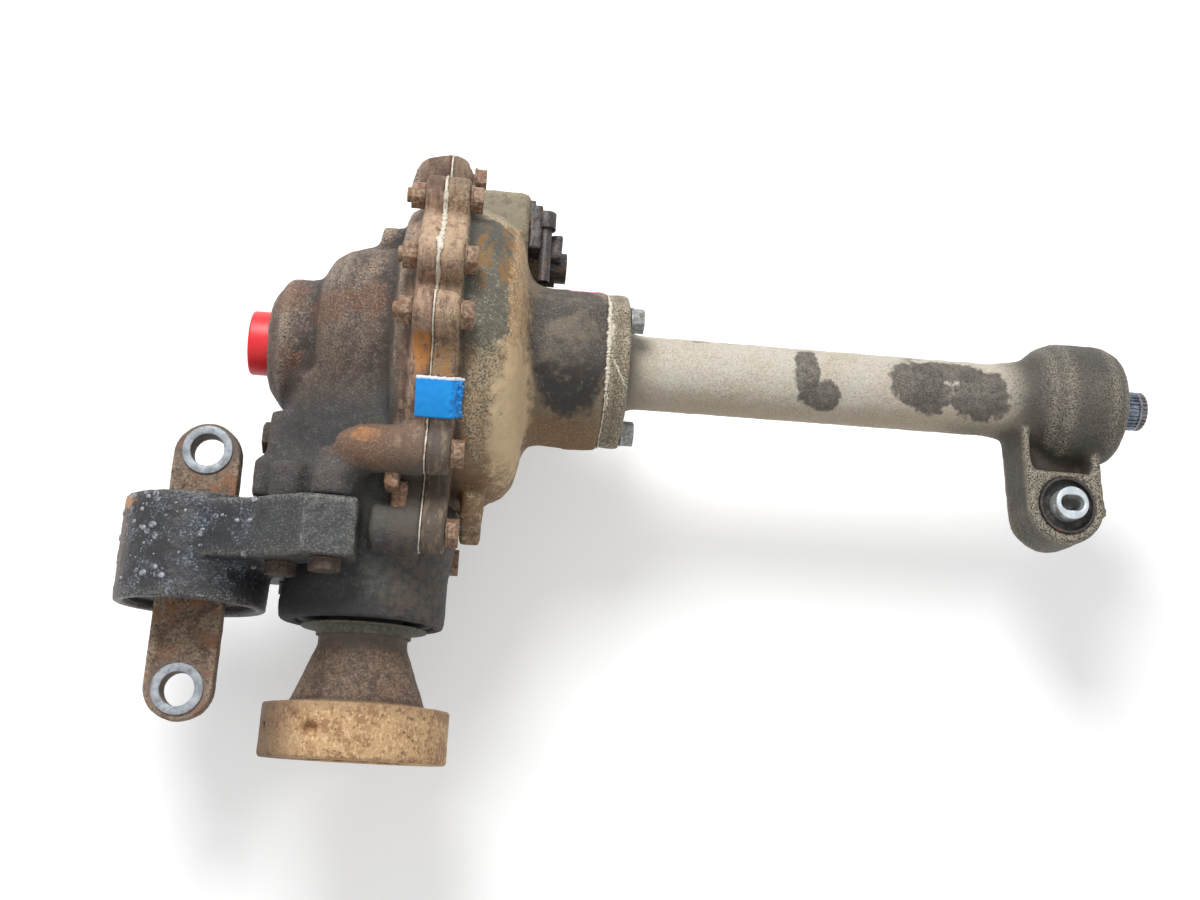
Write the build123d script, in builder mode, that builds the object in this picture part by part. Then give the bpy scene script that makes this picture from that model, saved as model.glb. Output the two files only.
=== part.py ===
from build123d import *
from math import atan, cos, pi, radians, sin, tan
import os

# Front differential with an axle tube and two rubber mounts.
# Frame: the origin is the centre of the companion flange's face, on the pinion line.
# +X runs along the axle line towards the tube, +Y from the companion flange to the ring gear,
# +Z is up as the unit lies on its side.

# Main places
axle_y = 276.0
tube_reach = 518.0
boss_face_x = -80.0
split_x = 33.0
neck_end_x = 147.0

# Clearances
press_gap = 0.02
running_gap = 0.05
bolt_gap = 0.4
backlash = 0.45
roller_gap = 0.2

# Ring gear and pinion
module = 4.25
ring_teeth = 41
pinion_teeth = 11
final_face = 27.0
pinion_shift = 0.4
ring_bore_r = 50.0
ring_back_x = 45.0
ring_back_r = 84.0

# Differential gears
side_teeth = 16
spider_teeth = 10
diff_face = 12.0
side_bore_r = 14.0
side_hub_r = 20.0
spider_bore_r = 9.03
spider_back_r = 43.0

# Differential case
case_r = 49.97
case_inner_r = 44.0
case_end_r = 37.0
case_end_x = 31.5
case_left_x = -40.0
case_flange_r = 83.0
case_flange_thick = 9.0
window_half = 22.0
trunnion_r = 25.0
trunnion_spare = 2.0
ring_bolt_count = 10
ring_bolt_circle_r = 68.0

# Carrier bearings
carrier_bearing_r = 40.0
carrier_bearing_width = 20.0
right_bearing_x = 64.0
carrier_rollers = 17
carrier_roller_r = 3.8
shim_thick = 0.5
trunnion_end_left = case_left_x - carrier_bearing_width - trunnion_spare
trunnion_end_right = right_bearing_x + carrier_bearing_width + trunnion_spare

# Pinion shaft and its bearings, as distances from the axle line
pinion_bearing_r = 42.5
flange_length = 87.0
nose_s = axle_y - flange_length
pinion_head_s = 116.0
pinion_head_width = 20.0
pinion_head_bore_r = 20.0
pinion_tail_s = nose_s - 19.0
pinion_tail_width = 18.0
pinion_tail_bore_r = 17.5
pinion_rollers = 14
pinion_roller_r = 4.8
pinion_passage_r = 30.0
pinion_end_r = 16.0
pinion_end_s = axle_y - 5.0
pinion_seal_s = nose_s - 14.0
pinion_seal_width = 12.0
pinion_seal_r = 44.0
seal_lip_r = 30.0
nose_r = 52.0
pinion_body_r = 57.0
flange_hub_r = 25.0

# Companion flange
flange_r = 60.0
flange_rim = 34.0
flange_neck_r = 29.0
flange_cone_r = 44.0
flange_recess_r = 36.0
flange_recess_depth = 20.0
flange_bolt_circle_r = 49.0
flange_bolt_r = 5.25
flange_bolt_count = 4
balance_hole_r = 4.5

# Housing
boss_wall = 6.0
boss_r = carrier_bearing_r + boss_wall
boss_chamfer = 11.0
dome_r = 73.0
rim_left_x = 20.0
rim_right_x = 49.0
seal_thick = 0.8
ear_r = 14.0
cover_bolt_circle_r = 117.0
rim_r = cover_bolt_circle_r - 5.0
rim_root_r = rim_r - 8.0
nut_bolt_angles = (45.0, 14.0, -4.5)
blind_bolt_angle = -48.5
blind_boss_x = -22.0
blind_boss_r = 15.5
top_ear_place = (128.0, 16.0)
top_ear_r = 18.0
top_ear_x = 5.0
back_ear_place = (104.0, -58.0)
bottom_ear_places = ((-134.0, 56.0), (-134.0, -56.0))
bottom_ear_r = 16.0
bottom_ear_x = 2.0
small_boss_place = (71.0, 30.0)
small_boss_r = 9.5
small_boss_x = -10.0
bolt_lug_places = ((-112.0, 30.0), (-112.0, -30.0))
bolt_lug_r = 13.0
bolt_lug_x = (57.0, 71.0)
cover_bolt_r = 5.0
cover_head_r = 9.5
cover_head_thick = 8.5
bolt_collar = 1.6
bolt_reach = 12.0
cover_nut_thick = 9.0
port_r = 22.0
port_seal_r = port_r + 8.0
port_seal_depth = 10.0
port_shoulder_r = port_r + 12.0
bowl_r = 103.5
cavity_r = 94.0
cavity_neck_r = 55.0
cavity_dome_r = 62.0
bearing_seat_r = carrier_bearing_r + 11.0
neck_r = 54.0
neck_bore_r = 36.0
neck_hollow_r = 44.0
neck_bore_x = 94.0
block_x = (45.0, 90.0)
block_y = (50.0, 117.0)
block_half_z = 30.0

# Axle tube
tube_r = 26.0
tube_wall = 5.0
tube_flange_thick = 15.0
gasket_thick = 0.5
tube_flange_end = neck_end_x + gasket_thick + tube_flange_thick
tube_flange_r = 53.0
tube_ear_r = 11.5
tube_bolt_circle_r = 45.0
tube_bolt_angles = (57.0, 180.0, 303.0)
tube_bolt_thread = 18.0
tube_bolt_r = 5.0
tube_head_r = 9.0
end_boss_x = tube_reach - 56.0
ball_bearing_x = tube_reach - 30.0
ball_bearing_r = 31.0
end_boss_wall = 13.0
end_boss_r = ball_bearing_r + end_boss_wall
ball_bearing_width = 16.0
ball_r = 4.6
ball_count = 9
eye_x = tube_reach - 43.0
eye_drop = 78.5
eye_half_z = 22.0
eye_bore_r = 20.0
eye_wall = 7.0
eye_r = eye_bore_r + eye_wall
eye_pocket_floor = 4.0
eye_sleeve_top = eye_half_z + 8.0
eye_sleeve_low = eye_half_z + 5.0
eye_sleeve_r = 11.5
eye_slot = (16.5, 11.0)

# Right axle shaft
shaft_r = 15.0
shaft_spline_r = 14.0
shaft_spline_teeth = 26
shaft_end_x = tube_reach + 24.0
shaft_start_x = 14.0

# Left mount
ring_r = 48.5
ring_gap = 8.0
ring_x = -(pinion_body_r + ring_gap + ring_r)
ring_wall = 7.0
ring_inner_r = ring_r - ring_wall
ring_top_s = 115.5
ring_bottom_s = 184.0
arm_top_s = 120.0
arm_bottom_s = 158.0
bar_width = 44.0
bar_thick = 14.0
bar_top_s = 61.0
bar_bottom_s = 257.0
bar_hole_s = (79.5, 236.8)
bar_hole_r = 11.0
arm_bolt_places = ((-22.0, 73.0), (-52.0, 46.0), (-54.0, -42.0))
arm_bolt_r = 6.0
arm_head_r = 10.0
pad_x = -78.0
pad_half_z = 34.0

# Plugs and breather
red_plug_length = 14.0
red_plug_reach = 14.0
red_plug_wall = 3.0
fill_plug_place = (-69.0, 10.0)
fill_plug_x = -77.0
pipe_r = 4.2
pipe_wall = 1.2
pipe_x = block_x[1] + 12.0
pipe_z = 18.0
pipe_y = (55.0, 107.5)
bracket_y = (93.5, 116.0)
bracket_thick = 3.5
clip_wall = 2.5
valve_place = (78.0, -11.0)
valve_x = 101.0
valve_boss_r = 14.0

AXLE = Plane(origin=(0, axle_y, 0), x_dir=(1, 0, 0), z_dir=(0, 0, 1))
PINION = Plane(origin=(0, axle_y, 0), x_dir=(0, -1, 0), z_dir=(0, 0, 1))
SPIDER_A = Plane(origin=(0, axle_y, 0), x_dir=(0, 0, 1), z_dir=(0, 1, 0))
SPIDER_B = Plane(origin=(0, axle_y, 0), x_dir=(0, 0, -1), z_dir=(0, 1, 0))
LEFTWARD = Plane(origin=(0, axle_y, 0), x_dir=(-1, 0, 0), z_dir=(0, 0, 1))
MOUNT_RING = Plane(origin=(ring_x, axle_y, 0), x_dir=(0, -1, 0), z_dir=(0, 0, 1))
EYE = Plane(origin=(eye_x, axle_y - eye_drop, 0), x_dir=(0, 0, 1), z_dir=(0, 1, 0))


def line_of(half_plane):
    return Axis(half_plane.origin, half_plane.x_dir)


def outline(half_plane, *points):
    """A closed outline whose points are (distance along the line, radius from it)."""
    with BuildSketch(half_plane) as face:
        with BuildLine():
            Polyline(*points, close=True)
        make_face()
    return face.sketch


def across_axle(x, way=1):
    """A plane square to the axle line that faces +X or -X; its own x is +Y and its own y is +Z or -Z."""
    return Plane(origin=(x, axle_y, 0), x_dir=(0, 1, 0), z_dir=(way, 0, 0))


def across_pinion(s):
    """A plane square to the pinion line at a distance s from the axle line; its y is +Z."""
    return Plane(origin=(0, axle_y - s, 0), x_dir=(1, 0, 0), z_dir=(0, -1, 0))


def across_pipe(y):
    """A plane square to the breather pipe, y above the axle line."""
    return Plane(origin=(pipe_x, axle_y + y, pipe_z), x_dir=(1, 0, 0), z_dir=(0, 1, 0))


def turn_places(count, circle_r, start=0.0):
    return [(circle_r * cos(radians(start + i * 360 / count)),
             circle_r * sin(radians(start + i * 360 / count))) for i in range(count)]


def disc(plane, place, radius):
    with BuildSketch(plane) as face:
        with Locations(place):
            Circle(radius)
    return face.sketch


def bolt(plane, place, shank_r, shank_long, head_r, head_thick):
    """A hexagon bolt with a collar under its head; the shank runs back from the plane."""
    with BuildPart() as piece:
        with BuildSketch(plane):
            with Locations(place):
                RegularPolygon(head_r, 6)
        extrude(amount=head_thick)
        extrude(disc(plane, place, head_r), amount=bolt_collar)
        extrude(disc(plane, place, shank_r), amount=-shank_long)
    return piece.part


# Bevel gears

def involute(angle):
    return tan(angle) - angle


def tooth_space_half_angle(rho, virtual_teeth, shift):
    """Half the angle of a tooth space at radius rho on the developed back cone."""
    pressure = radians(20)
    base = module * virtual_teeth / 2 * cos(pressure)
    flank = 0.0
    if rho > base:
        ratio = base / rho
        flank = involute(atan((1 - ratio * ratio) ** 0.5 / ratio))
    tooth = (pi / 2 + 2 * shift * tan(pressure)) / virtual_teeth + involute(pressure) - flank
    return pi / virtual_teeth - tooth + backlash / 4 / rho


def space_points(teeth, mate, shift):
    """The outline of a tooth space in the plane square to the pitch line, at the heel."""
    cone = atan(teeth / mate)
    virtual_teeth = teeth / cos(cone)
    pitch = module * virtual_teeth / 2
    low = (1.25 - shift) * module
    high = (1 + shift) * module + 1.2
    steps = 5
    side = []
    for i in range(steps + 1):
        rho = pitch - low + i * (low + high) / steps
        half = tooth_space_half_angle(rho, virtual_teeth, shift)
        side.append((rho * sin(half), rho * cos(half) - pitch))
    peak = side[-1][1] + 2
    return side + [(0, peak)] + [(-u, v) for u, v in reversed(side)]


def tooth_cutter(half_plane, teeth, mate, shift, face_width):
    """A cutter for one tooth space: the heel outline shrunk towards the apex."""
    cone = atan(teeth / mate)
    cone_distance = module * teeth / 2 / sin(cone)
    points = space_points(teeth, mate, shift)
    along = half_plane.x_dir * cos(cone) + half_plane.y_dir * sin(cone)
    with BuildPart() as cutter:
        for reach in (cone_distance - face_width - 4, cone_distance + 4):
            scale_here = reach / cone_distance
            plane = Plane(origin=half_plane.origin + along * reach, x_dir=-half_plane.z_dir, z_dir=along)
            with BuildSketch(plane):
                with BuildLine():
                    Polyline(*[(u * scale_here, v * scale_here) for u, v in points], close=True)
                make_face()
        loft(ruled=True)
    return cutter.part


def cut_teeth(half_plane, teeth, mate, shift, face_width, start):
    cutter = tooth_cutter(half_plane, teeth, mate, shift, face_width)
    line = line_of(half_plane)
    return [cutter.rotate(line, start + i * 360 / teeth) for i in range(teeth)]


def cone_point(teeth, mate, reach, height):
    """A point of a bevel gear's outline: reach along the pitch line, height square to it."""
    cone = atan(teeth / mate)
    return (reach * cos(cone) - height * sin(cone), reach * sin(cone) + height * cos(cone))


def tooth_rows(teeth, mate, shift, face_width):
    """Tip and root points at the toe and at the heel."""
    heel = module * teeth / 2 / sin(atan(teeth / mate))
    toe = heel - face_width
    tip = (1 + shift) * module
    root = (1.25 - shift) * module
    return (cone_point(teeth, mate, toe, tip * toe / heel), cone_point(teeth, mate, heel, tip),
            cone_point(teeth, mate, heel, -root), cone_point(teeth, mate, toe, -root * toe / heel))


# Taper roller bearings

roller_tilt = 13.0
roller_cone = 1.5


def race_radius(t, width, middle_r, roller_r, side):
    """Radius of the cup (side 1) or cone (side -1) track at t from the large end."""
    angle = radians(roller_tilt + side * roller_cone)
    stand_off = roller_r / cos(radians(roller_tilt)) + roller_gap
    return middle_r + side * stand_off - (t - width / 2) * tan(angle)


def bearing_cone(half_plane, back, way, width, bore_r, outer_r, roller_r):
    middle = (bore_r + outer_r) / 2

    def at(t, lift):
        return (back + way * t, race_radius(t, width, middle, roller_r, -1) + lift)

    return outline(half_plane, (back, bore_r), at(0, 2), at(1.8, 2), at(1.8, 0), at(width - 3.2, 0),
                   at(width - 3.2, 1), at(width - 2, 1), (back + way * (width - 2), bore_r))


def bearing_cup(half_plane, back, way, width, bore_r, outer_r, roller_r):
    middle = (bore_r + outer_r) / 2
    inner = race_radius(3, width, middle, roller_r, 1)
    outer = race_radius(width, width, middle, roller_r, 1)
    return outline(half_plane, (back + way * 3, outer_r), (back + way * width, outer_r),
                   (back + way * width, outer), (back + way * 3, inner))


def roller(half_plane, back, way, width, middle_r, roller_r, grow, spare):
    """One taper roller, turned about its own tilted line."""
    tilt = radians(roller_tilt)
    along = half_plane.x_dir * (way * cos(tilt)) - half_plane.y_dir * sin(tilt)
    centre = half_plane.origin + half_plane.x_dir * (back + way * width / 2) + half_plane.y_dir * middle_r
    own = Plane(origin=centre, x_dir=along, z_dir=half_plane.z_dir * way)
    half = (width - 7) / 2 + spare
    slope = tan(radians(roller_cone))
    with BuildPart() as piece:
        revolve(outline(own, (-half, 0), (-half, roller_r + grow + half * slope),
                        (half, roller_r + grow - half * slope), (half, 0)), axis=line_of(own))
    return piece.part


def roller_set(half_plane, back, way, width, bore_r, outer_r, roller_r, count):
    """The cage and its rollers."""
    middle = (bore_r + outer_r) / 2
    line = line_of(half_plane)
    slope = tan(radians(roller_tilt))
    thick = 0.7
    pocket = roller(half_plane, back, way, width, middle, roller_r, 0.2, 0.3)
    body = roller(half_plane, back, way, width, middle, roller_r, 0, 0)

    def shell(t, lift):
        return (back + way * t, middle - (t - width / 2) * slope + lift)

    with BuildPart() as cage:
        revolve(outline(half_plane, shell(1.4, -thick), shell(width - 1.2, -thick),
                        shell(width - 1.2, thick), shell(1.4, thick)), axis=line)
        add([pocket.rotate(line, i * 360 / count) for i in range(count)], mode=Mode.SUBTRACT)
        add([body.rotate(line, i * 360 / count) for i in range(count)])
    return cage.part


# Places that several pieces share

def cover_place(angle, side):
    """A cover bolt at an angle above the axle line; side 1 is the upper side, -1 the lower one."""
    return (cover_bolt_circle_r * sin(radians(angle)), side * cover_bolt_circle_r * cos(radians(angle)))


seal_x = split_x + seal_thick
left_seat_x = case_left_x - carrier_bearing_width - shim_thick
right_seat_x = right_bearing_x + carrier_bearing_width + shim_thick
port_seal_x = boss_face_x + port_seal_depth
nut_places = [cover_place(angle, side) for angle in nut_bolt_angles for side in (1, -1)] + [back_ear_place]
blind_places = [cover_place(blind_bolt_angle, side) for side in (1, -1)]
ear_places = [back_ear_place, top_ear_place] + list(bottom_ear_places)
rim_places = nut_places + blind_places + [top_ear_place] + list(bottom_ear_places)
tube_bolt_places = [(tube_bolt_circle_r * cos(radians(a)), tube_bolt_circle_r * sin(radians(a)))
                    for a in tube_bolt_angles]
flange_back_s = axle_y - flange_rim
recess_s = axle_y - flange_recess_depth
fill_boss_x = fill_plug_x + 6
snap_ring_x = ball_bearing_x + ball_bearing_width
snap_ring_r = ball_bearing_r + 1.6
ball_mid_x = ball_bearing_x + ball_bearing_width / 2
ball_circle_r = (ball_bearing_r + shaft_r) / 2
pocket_end = eye_bore_r + eye_pocket_floor - eye_drop
spider_pin_r = 9.0
lock_pin_r = 2.5
lock_pin_z = case_r - 4.5
clip_x = shaft_end_x - 5
case_turn_x = (case_inner_r ** 2 - case_end_r ** 2) ** 0.5


def web(place, inner_r, half):
    """A straight web from a ring of inner_r out to a boss at the place."""
    reach = (place[0] ** 2 + place[1] ** 2) ** 0.5
    u = (place[0] / reach, place[1] / reach)
    n = (-u[1] * half, u[0] * half)
    return ((u[0] * inner_r + n[0], u[1] * inner_r + n[1]), (u[0] * inner_r - n[0], u[1] * inner_r - n[1]),
            (place[0] - n[0], place[1] - n[1]), (place[0] + n[0], place[1] + n[1]))


def rim_face(x, spare=0.0):
    """The outline of the joint between the housing and its cover, at x."""
    with BuildSketch(across_axle(x)) as face:
        Circle(rim_r + spare)
        with Locations(*rim_places):
            Circle(ear_r + spare)
        with Locations(top_ear_place):
            Circle(top_ear_r + spare)
        for place in ear_places:
            Polygon(*web(place, rim_r - 20, ear_r + spare))
    return face.sketch


def tube_joint_face(x):
    """The outline of the joint between the neck and the tube, at x."""
    with BuildSketch(across_axle(x)) as face:
        Circle(tube_flange_r)
        with Locations(*tube_bolt_places):
            Circle(tube_ear_r)
    return face.sketch


def ring(half_plane, s0, s1, inner_r, outer_r):
    return outline(half_plane, (s0, inner_r), (s0, outer_r), (s1, outer_r), (s1, inner_r))


def ball_race(edge_r, side):
    """The outline of a plain bearing ring whose seat is at edge_r; side 1 is the outer ring."""
    inner = ball_circle_r + side * 2.2
    seat = edge_r - press_gap if side > 0 else edge_r
    return (ball_bearing_x, seat), (snap_ring_x, seat), (snap_ring_x, inner), (ball_bearing_x, inner)


def ball_groove():
    """The round track that both rings of the ball bearing share."""
    with BuildSketch(AXLE) as face:
        with Locations((ball_mid_x, ball_circle_r)):
            Circle(ball_r + 0.15)
    return face.sketch


def back_point(r):
    """A point on the ball-shaped back of a spider gear, at radius r from its own line."""
    return ((spider_back_r ** 2 - r ** 2) ** 0.5, r)


# Left housing: a bell around the ring gear, with the pinion nose on its side

with BuildPart() as carrier_housing:
    revolve(outline(AXLE, (boss_face_x, 0), (boss_face_x, port_seal_r + 1),
                    (boss_face_x + boss_chamfer, boss_r), (-47, boss_r), (-44, dome_r - 18), (-39, dome_r - 11), (-30, dome_r - 5), (-12, dome_r),
                    (5, dome_r + 2), (9, rim_root_r - 7), (rim_left_x, rim_root_r),
                    (split_x, rim_root_r), (split_x, 0)), axis=line_of(AXLE))
    revolve(outline(PINION, (30, 0), (30, 66), (100, pinion_body_r + 3), (125, pinion_body_r),
                    (nose_s - 33, nose_r), (nose_s, nose_r), (nose_s, 0)), axis=line_of(PINION))
    extrude(rim_face(rim_left_x), amount=split_x - rim_left_x)
    for place in blind_places:
        extrude(disc(across_axle(blind_boss_x), place, blind_boss_r), amount=split_x - blind_boss_x)
    for place in bottom_ear_places:
        extrude(disc(across_axle(bottom_ear_x), place, bottom_ear_r), amount=split_x - bottom_ear_x)
    extrude(disc(across_axle(top_ear_x), top_ear_place, top_ear_r), amount=split_x - top_ear_x)
    extrude(disc(across_axle(small_boss_x), small_boss_place, small_boss_r), amount=rim_left_x - small_boss_x)
    extrude(disc(across_axle(fill_boss_x), fill_plug_place, 15), amount=40)
    with BuildSketch(AXLE.offset(-pad_half_z)):
        Polygon((-40, -50), (fill_boss_x, -56), (fill_boss_x, -84), (pad_x, -90), (pad_x, 2 - ring_top_s),
                (-40, 2 - ring_top_s), align=None)
    extrude(amount=2 * pad_half_z)
    for place in arm_bolt_places:
        extrude(disc(across_pinion(arm_top_s), place, arm_head_r + 3), amount=-26)
        with BuildSketch(across_pinion(arm_top_s)):
            Polygon(*web(place, pinion_body_r - 10, arm_head_r + 3))
        extrude(amount=-26)
    extrude(rim_face(split_x, 1.5), amount=40, mode=Mode.SUBTRACT)
    revolve(outline(AXLE, (split_x, 0), (split_x, cavity_r), (16, cavity_r - 1), (8, cavity_dome_r + 6),
                    (-24, cavity_dome_r), (-35, cavity_neck_r), (case_left_x, cavity_neck_r),
                    (case_left_x, carrier_bearing_r + press_gap),
                    (left_seat_x, carrier_bearing_r + press_gap), (left_seat_x, port_shoulder_r),
                    (port_seal_x, port_shoulder_r), (port_seal_x, port_seal_r), (boss_face_x, port_seal_r),
                    (boss_face_x, 0)), axis=line_of(AXLE), mode=Mode.SUBTRACT)
    revolve(outline(PINION, (0, 0), (0, pinion_passage_r), (pinion_head_s - 0.5, pinion_passage_r),
                    (pinion_head_s - 0.5, pinion_bearing_r + press_gap),
                    (pinion_seal_s - 1, pinion_bearing_r + press_gap),
                    (pinion_seal_s - 1, pinion_seal_r + press_gap),
                    (nose_s, pinion_seal_r + press_gap), (nose_s, 0)),
            axis=line_of(PINION), mode=Mode.SUBTRACT)
    with BuildSketch(across_axle(split_x)):
        with Locations(*rim_places):
            Circle(cover_bolt_r + bolt_gap)
    extrude(amount=-(split_x - rim_left_x + bolt_reach + 1), mode=Mode.SUBTRACT)
    with BuildSketch(across_axle(rim_left_x)):
        with Locations(*nut_places):
            Circle(cover_head_r + 1.2)
    extrude(amount=-(bolt_reach + 1), mode=Mode.SUBTRACT)
    extrude(disc(across_axle(fill_boss_x), fill_plug_place, 9 + press_gap), amount=14, mode=Mode.SUBTRACT)
    with BuildSketch(across_pinion(arm_top_s)):
        with Locations(*arm_bolt_places):
            Circle(arm_bolt_r + press_gap)
    extrude(amount=-20, mode=Mode.SUBTRACT)

# Right housing: the cover bowl, its breather block, the bearing seat and the neck

with BuildPart() as housing_cover:
    revolve(outline(AXLE, (seal_x, 0), (seal_x, bowl_r + 2), (rim_right_x, bowl_r + 2), (62, bowl_r),
                    (74, bowl_r - 5), (82, bowl_r - 11), (87, bowl_r - 20), (90, bowl_r - 31),
                    (93, neck_r + 7), (99, neck_r + 1), (106, neck_r), (neck_end_x, neck_r), (neck_end_x, 0)),
            axis=line_of(AXLE))
    extrude(rim_face(seal_x), amount=rim_right_x - seal_x)
    with BuildSketch(Plane(origin=(0, axle_y + block_y[0], 0), x_dir=(1, 0, 0), z_dir=(0, 1, 0))):
        with Locations((sum(block_x) / 2, 0)):
            RectangleRounded(block_x[1] - block_x[0], 2 * block_half_z, 8)
    extrude(amount=block_y[1] - block_y[0])
    for place in tube_bolt_places:
        extrude(disc(across_axle(neck_end_x - 24), place, tube_ear_r), amount=24)
    with BuildSketch(across_axle(bolt_lug_x[0])):
        with Locations(*bolt_lug_places):
            Circle(bolt_lug_r)
    extrude(amount=bolt_lug_x[1] - bolt_lug_x[0])
    extrude(disc(across_axle(block_x[1] - 9), valve_place, valve_boss_r), amount=valve_x - block_x[1] + 9)
    revolve(outline(AXLE, (seal_x, 0), (seal_x, cavity_r), (60, cavity_r - 1), (71, cavity_r - 7),
                    (79, cavity_r - 16), (82.5, cavity_r - 30), (83.5, bearing_seat_r + 1),
                    (right_bearing_x, bearing_seat_r), (right_bearing_x, carrier_bearing_r + press_gap),
                    (right_seat_x, carrier_bearing_r + press_gap), (right_seat_x, port_shoulder_r),
                    (neck_bore_x, port_shoulder_r), (neck_bore_x + 6, neck_hollow_r),
                    (neck_end_x - tube_bolt_thread - 6, neck_hollow_r),
                    (neck_end_x - tube_bolt_thread - 2, neck_bore_r), (neck_end_x, neck_bore_r), (neck_end_x, 0)), axis=line_of(AXLE), mode=Mode.SUBTRACT)
    with BuildSketch(across_axle(seal_x)):
        with Locations(*rim_places):
            Circle(cover_bolt_r + bolt_gap)
    extrude(amount=rim_right_x - seal_x, mode=Mode.SUBTRACT)
    with BuildSketch(across_axle(neck_end_x)):
        with Locations(*tube_bolt_places):
            Circle(tube_bolt_r + press_gap)
    extrude(amount=-tube_bolt_thread, mode=Mode.SUBTRACT)
    extrude(disc(across_axle(valve_x), valve_place, 7 + press_gap), amount=-12, mode=Mode.SUBTRACT)

with BuildPart() as cover_seal:
    extrude(rim_face(split_x), amount=seal_thick)
    extrude(disc(across_axle(split_x), (0, 0), cavity_r), amount=seal_thick, mode=Mode.SUBTRACT)
    with BuildSketch(across_axle(split_x)):
        with Locations(*rim_places):
            Circle(cover_bolt_r + bolt_gap)
    extrude(amount=seal_thick, mode=Mode.SUBTRACT)

with BuildPart() as cover_bolts:
    for place in rim_places:
        add(bolt(across_axle(rim_right_x), place, cover_bolt_r, rim_right_x - rim_left_x + bolt_reach,
                 cover_head_r, cover_head_thick))

with BuildPart() as cover_nuts:
    with BuildSketch(across_axle(rim_left_x)):
        with Locations(*nut_places):
            RegularPolygon(cover_head_r, 6)
            Circle(cover_bolt_r + press_gap, mode=Mode.SUBTRACT)
    extrude(amount=-cover_nut_thick)

with BuildPart() as fill_plug:
    add(bolt(across_axle(fill_boss_x, -1), (fill_plug_place[0], -fill_plug_place[1]), 9, 13, 11, 6))

# Axle tube with its flange, its end boss and its mounting eye

with BuildPart() as axle_tube:
    extrude(tube_joint_face(neck_end_x + gasket_thick), amount=tube_flange_thick)
    with BuildSketch(AXLE.offset(-eye_half_z)):
        Polygon((eye_x - eye_r - 5, 0), (eye_x - eye_r, -eye_drop), (eye_x + eye_r, -eye_drop),
                (eye_x + eye_r - 2, -10), (eye_x + eye_r - 2, 0), align=None)
        with Locations((eye_x, -eye_drop)):
            Circle(eye_r)
    extrude(amount=2 * eye_half_z)
    with BuildSketch(AXLE.offset(eye_half_z)):
        Polygon((eye_x - eye_r + 1, -22), (eye_x - eye_r + 3, pocket_end + 1), (eye_x - 12, pocket_end),
                (eye_x + 12, pocket_end), (eye_x + eye_r - 8, pocket_end - 1), (eye_x + eye_r - 8, -40),
                (eye_x + 10, -22), align=None)
    extrude(amount=-eye_half_z + 4, mode=Mode.SUBTRACT)
    revolve(outline(AXLE, (neck_end_x - 8, 0), (neck_end_x - 8, neck_bore_r - running_gap),
                    (neck_end_x + 10, neck_bore_r - running_gap), (tube_flange_end, tube_r + 3),
                    (tube_flange_end + 8, tube_r), (end_boss_x - 34, tube_r), (end_boss_x - 12, tube_r + 4),
                    (end_boss_x, end_boss_r - 4), (end_boss_x + 10, end_boss_r),
                    (tube_reach - 13, end_boss_r), (tube_reach - 4, end_boss_r - 4),
                    (tube_reach, end_boss_r - 10), (tube_reach, 0)), axis=line_of(AXLE))
    revolve(outline(AXLE, (neck_end_x - 8, 0), (neck_end_x - 8, neck_bore_r - 6),
                    (neck_end_x + 4, neck_bore_r - 6), (neck_end_x + 14, tube_r - tube_wall), (ball_bearing_x - 4, tube_r - tube_wall),
                    (ball_bearing_x - 4, ball_bearing_r - 4), (ball_bearing_x, ball_bearing_r - 4),
                    (ball_bearing_x, ball_bearing_r + press_gap), (tube_reach, ball_bearing_r + press_gap),
                    (tube_reach, 0)), axis=line_of(AXLE), mode=Mode.SUBTRACT)
    revolve(ring(AXLE, snap_ring_x, snap_ring_x + 2.1, ball_bearing_r - 2, snap_ring_r + 0.2),
            axis=line_of(AXLE), mode=Mode.SUBTRACT)
    revolve(outline(EYE, (-eye_half_z - 1, 0), (-eye_half_z - 1, eye_bore_r), (eye_half_z + 1, eye_bore_r),
                    (eye_half_z + 1, 0)), axis=line_of(EYE), mode=Mode.SUBTRACT)
    with BuildSketch(across_axle(neck_end_x)):
        with Locations(*tube_bolt_places):
            Circle(tube_bolt_r + bolt_gap)
    extrude(amount=tube_flange_thick + 1, mode=Mode.SUBTRACT)

with BuildPart() as tube_gasket:
    extrude(tube_joint_face(neck_end_x), amount=gasket_thick)
    extrude(disc(across_axle(neck_end_x), (0, 0), neck_bore_r), amount=gasket_thick, mode=Mode.SUBTRACT)
    with BuildSketch(across_axle(neck_end_x)):
        with Locations(*tube_bolt_places):
            Circle(tube_bolt_r + bolt_gap)
    extrude(amount=gasket_thick, mode=Mode.SUBTRACT)

with BuildPart() as tube_bolts:
    for place in tube_bolt_places:
        add(bolt(across_axle(tube_flange_end), place, tube_bolt_r, tube_flange_thick + tube_bolt_thread - 2,
                 tube_head_r, 9))

with BuildPart() as tube_bush_outer:
    revolve(ring(EYE, -eye_half_z, eye_half_z, eye_bore_r - 1.8, eye_bore_r - press_gap), axis=line_of(EYE))

with BuildPart() as tube_bush_rubber:
    revolve(ring(EYE, -eye_half_z + 2, eye_half_z - 4, eye_sleeve_r, eye_bore_r - 1.8), axis=line_of(EYE))

with BuildPart() as tube_bush_inner:
    revolve(outline(EYE, (-eye_sleeve_low, 0), (-eye_sleeve_low, eye_sleeve_r), (eye_sleeve_top, eye_sleeve_r),
                    (eye_sleeve_top, 0)), axis=line_of(EYE))
    with BuildSketch(Plane(origin=(eye_x, axle_y - eye_drop, eye_sleeve_top))):
        SlotOverall(eye_slot[0], eye_slot[1])
    extrude(amount=-(eye_sleeve_top + eye_sleeve_low), mode=Mode.SUBTRACT)

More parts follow.
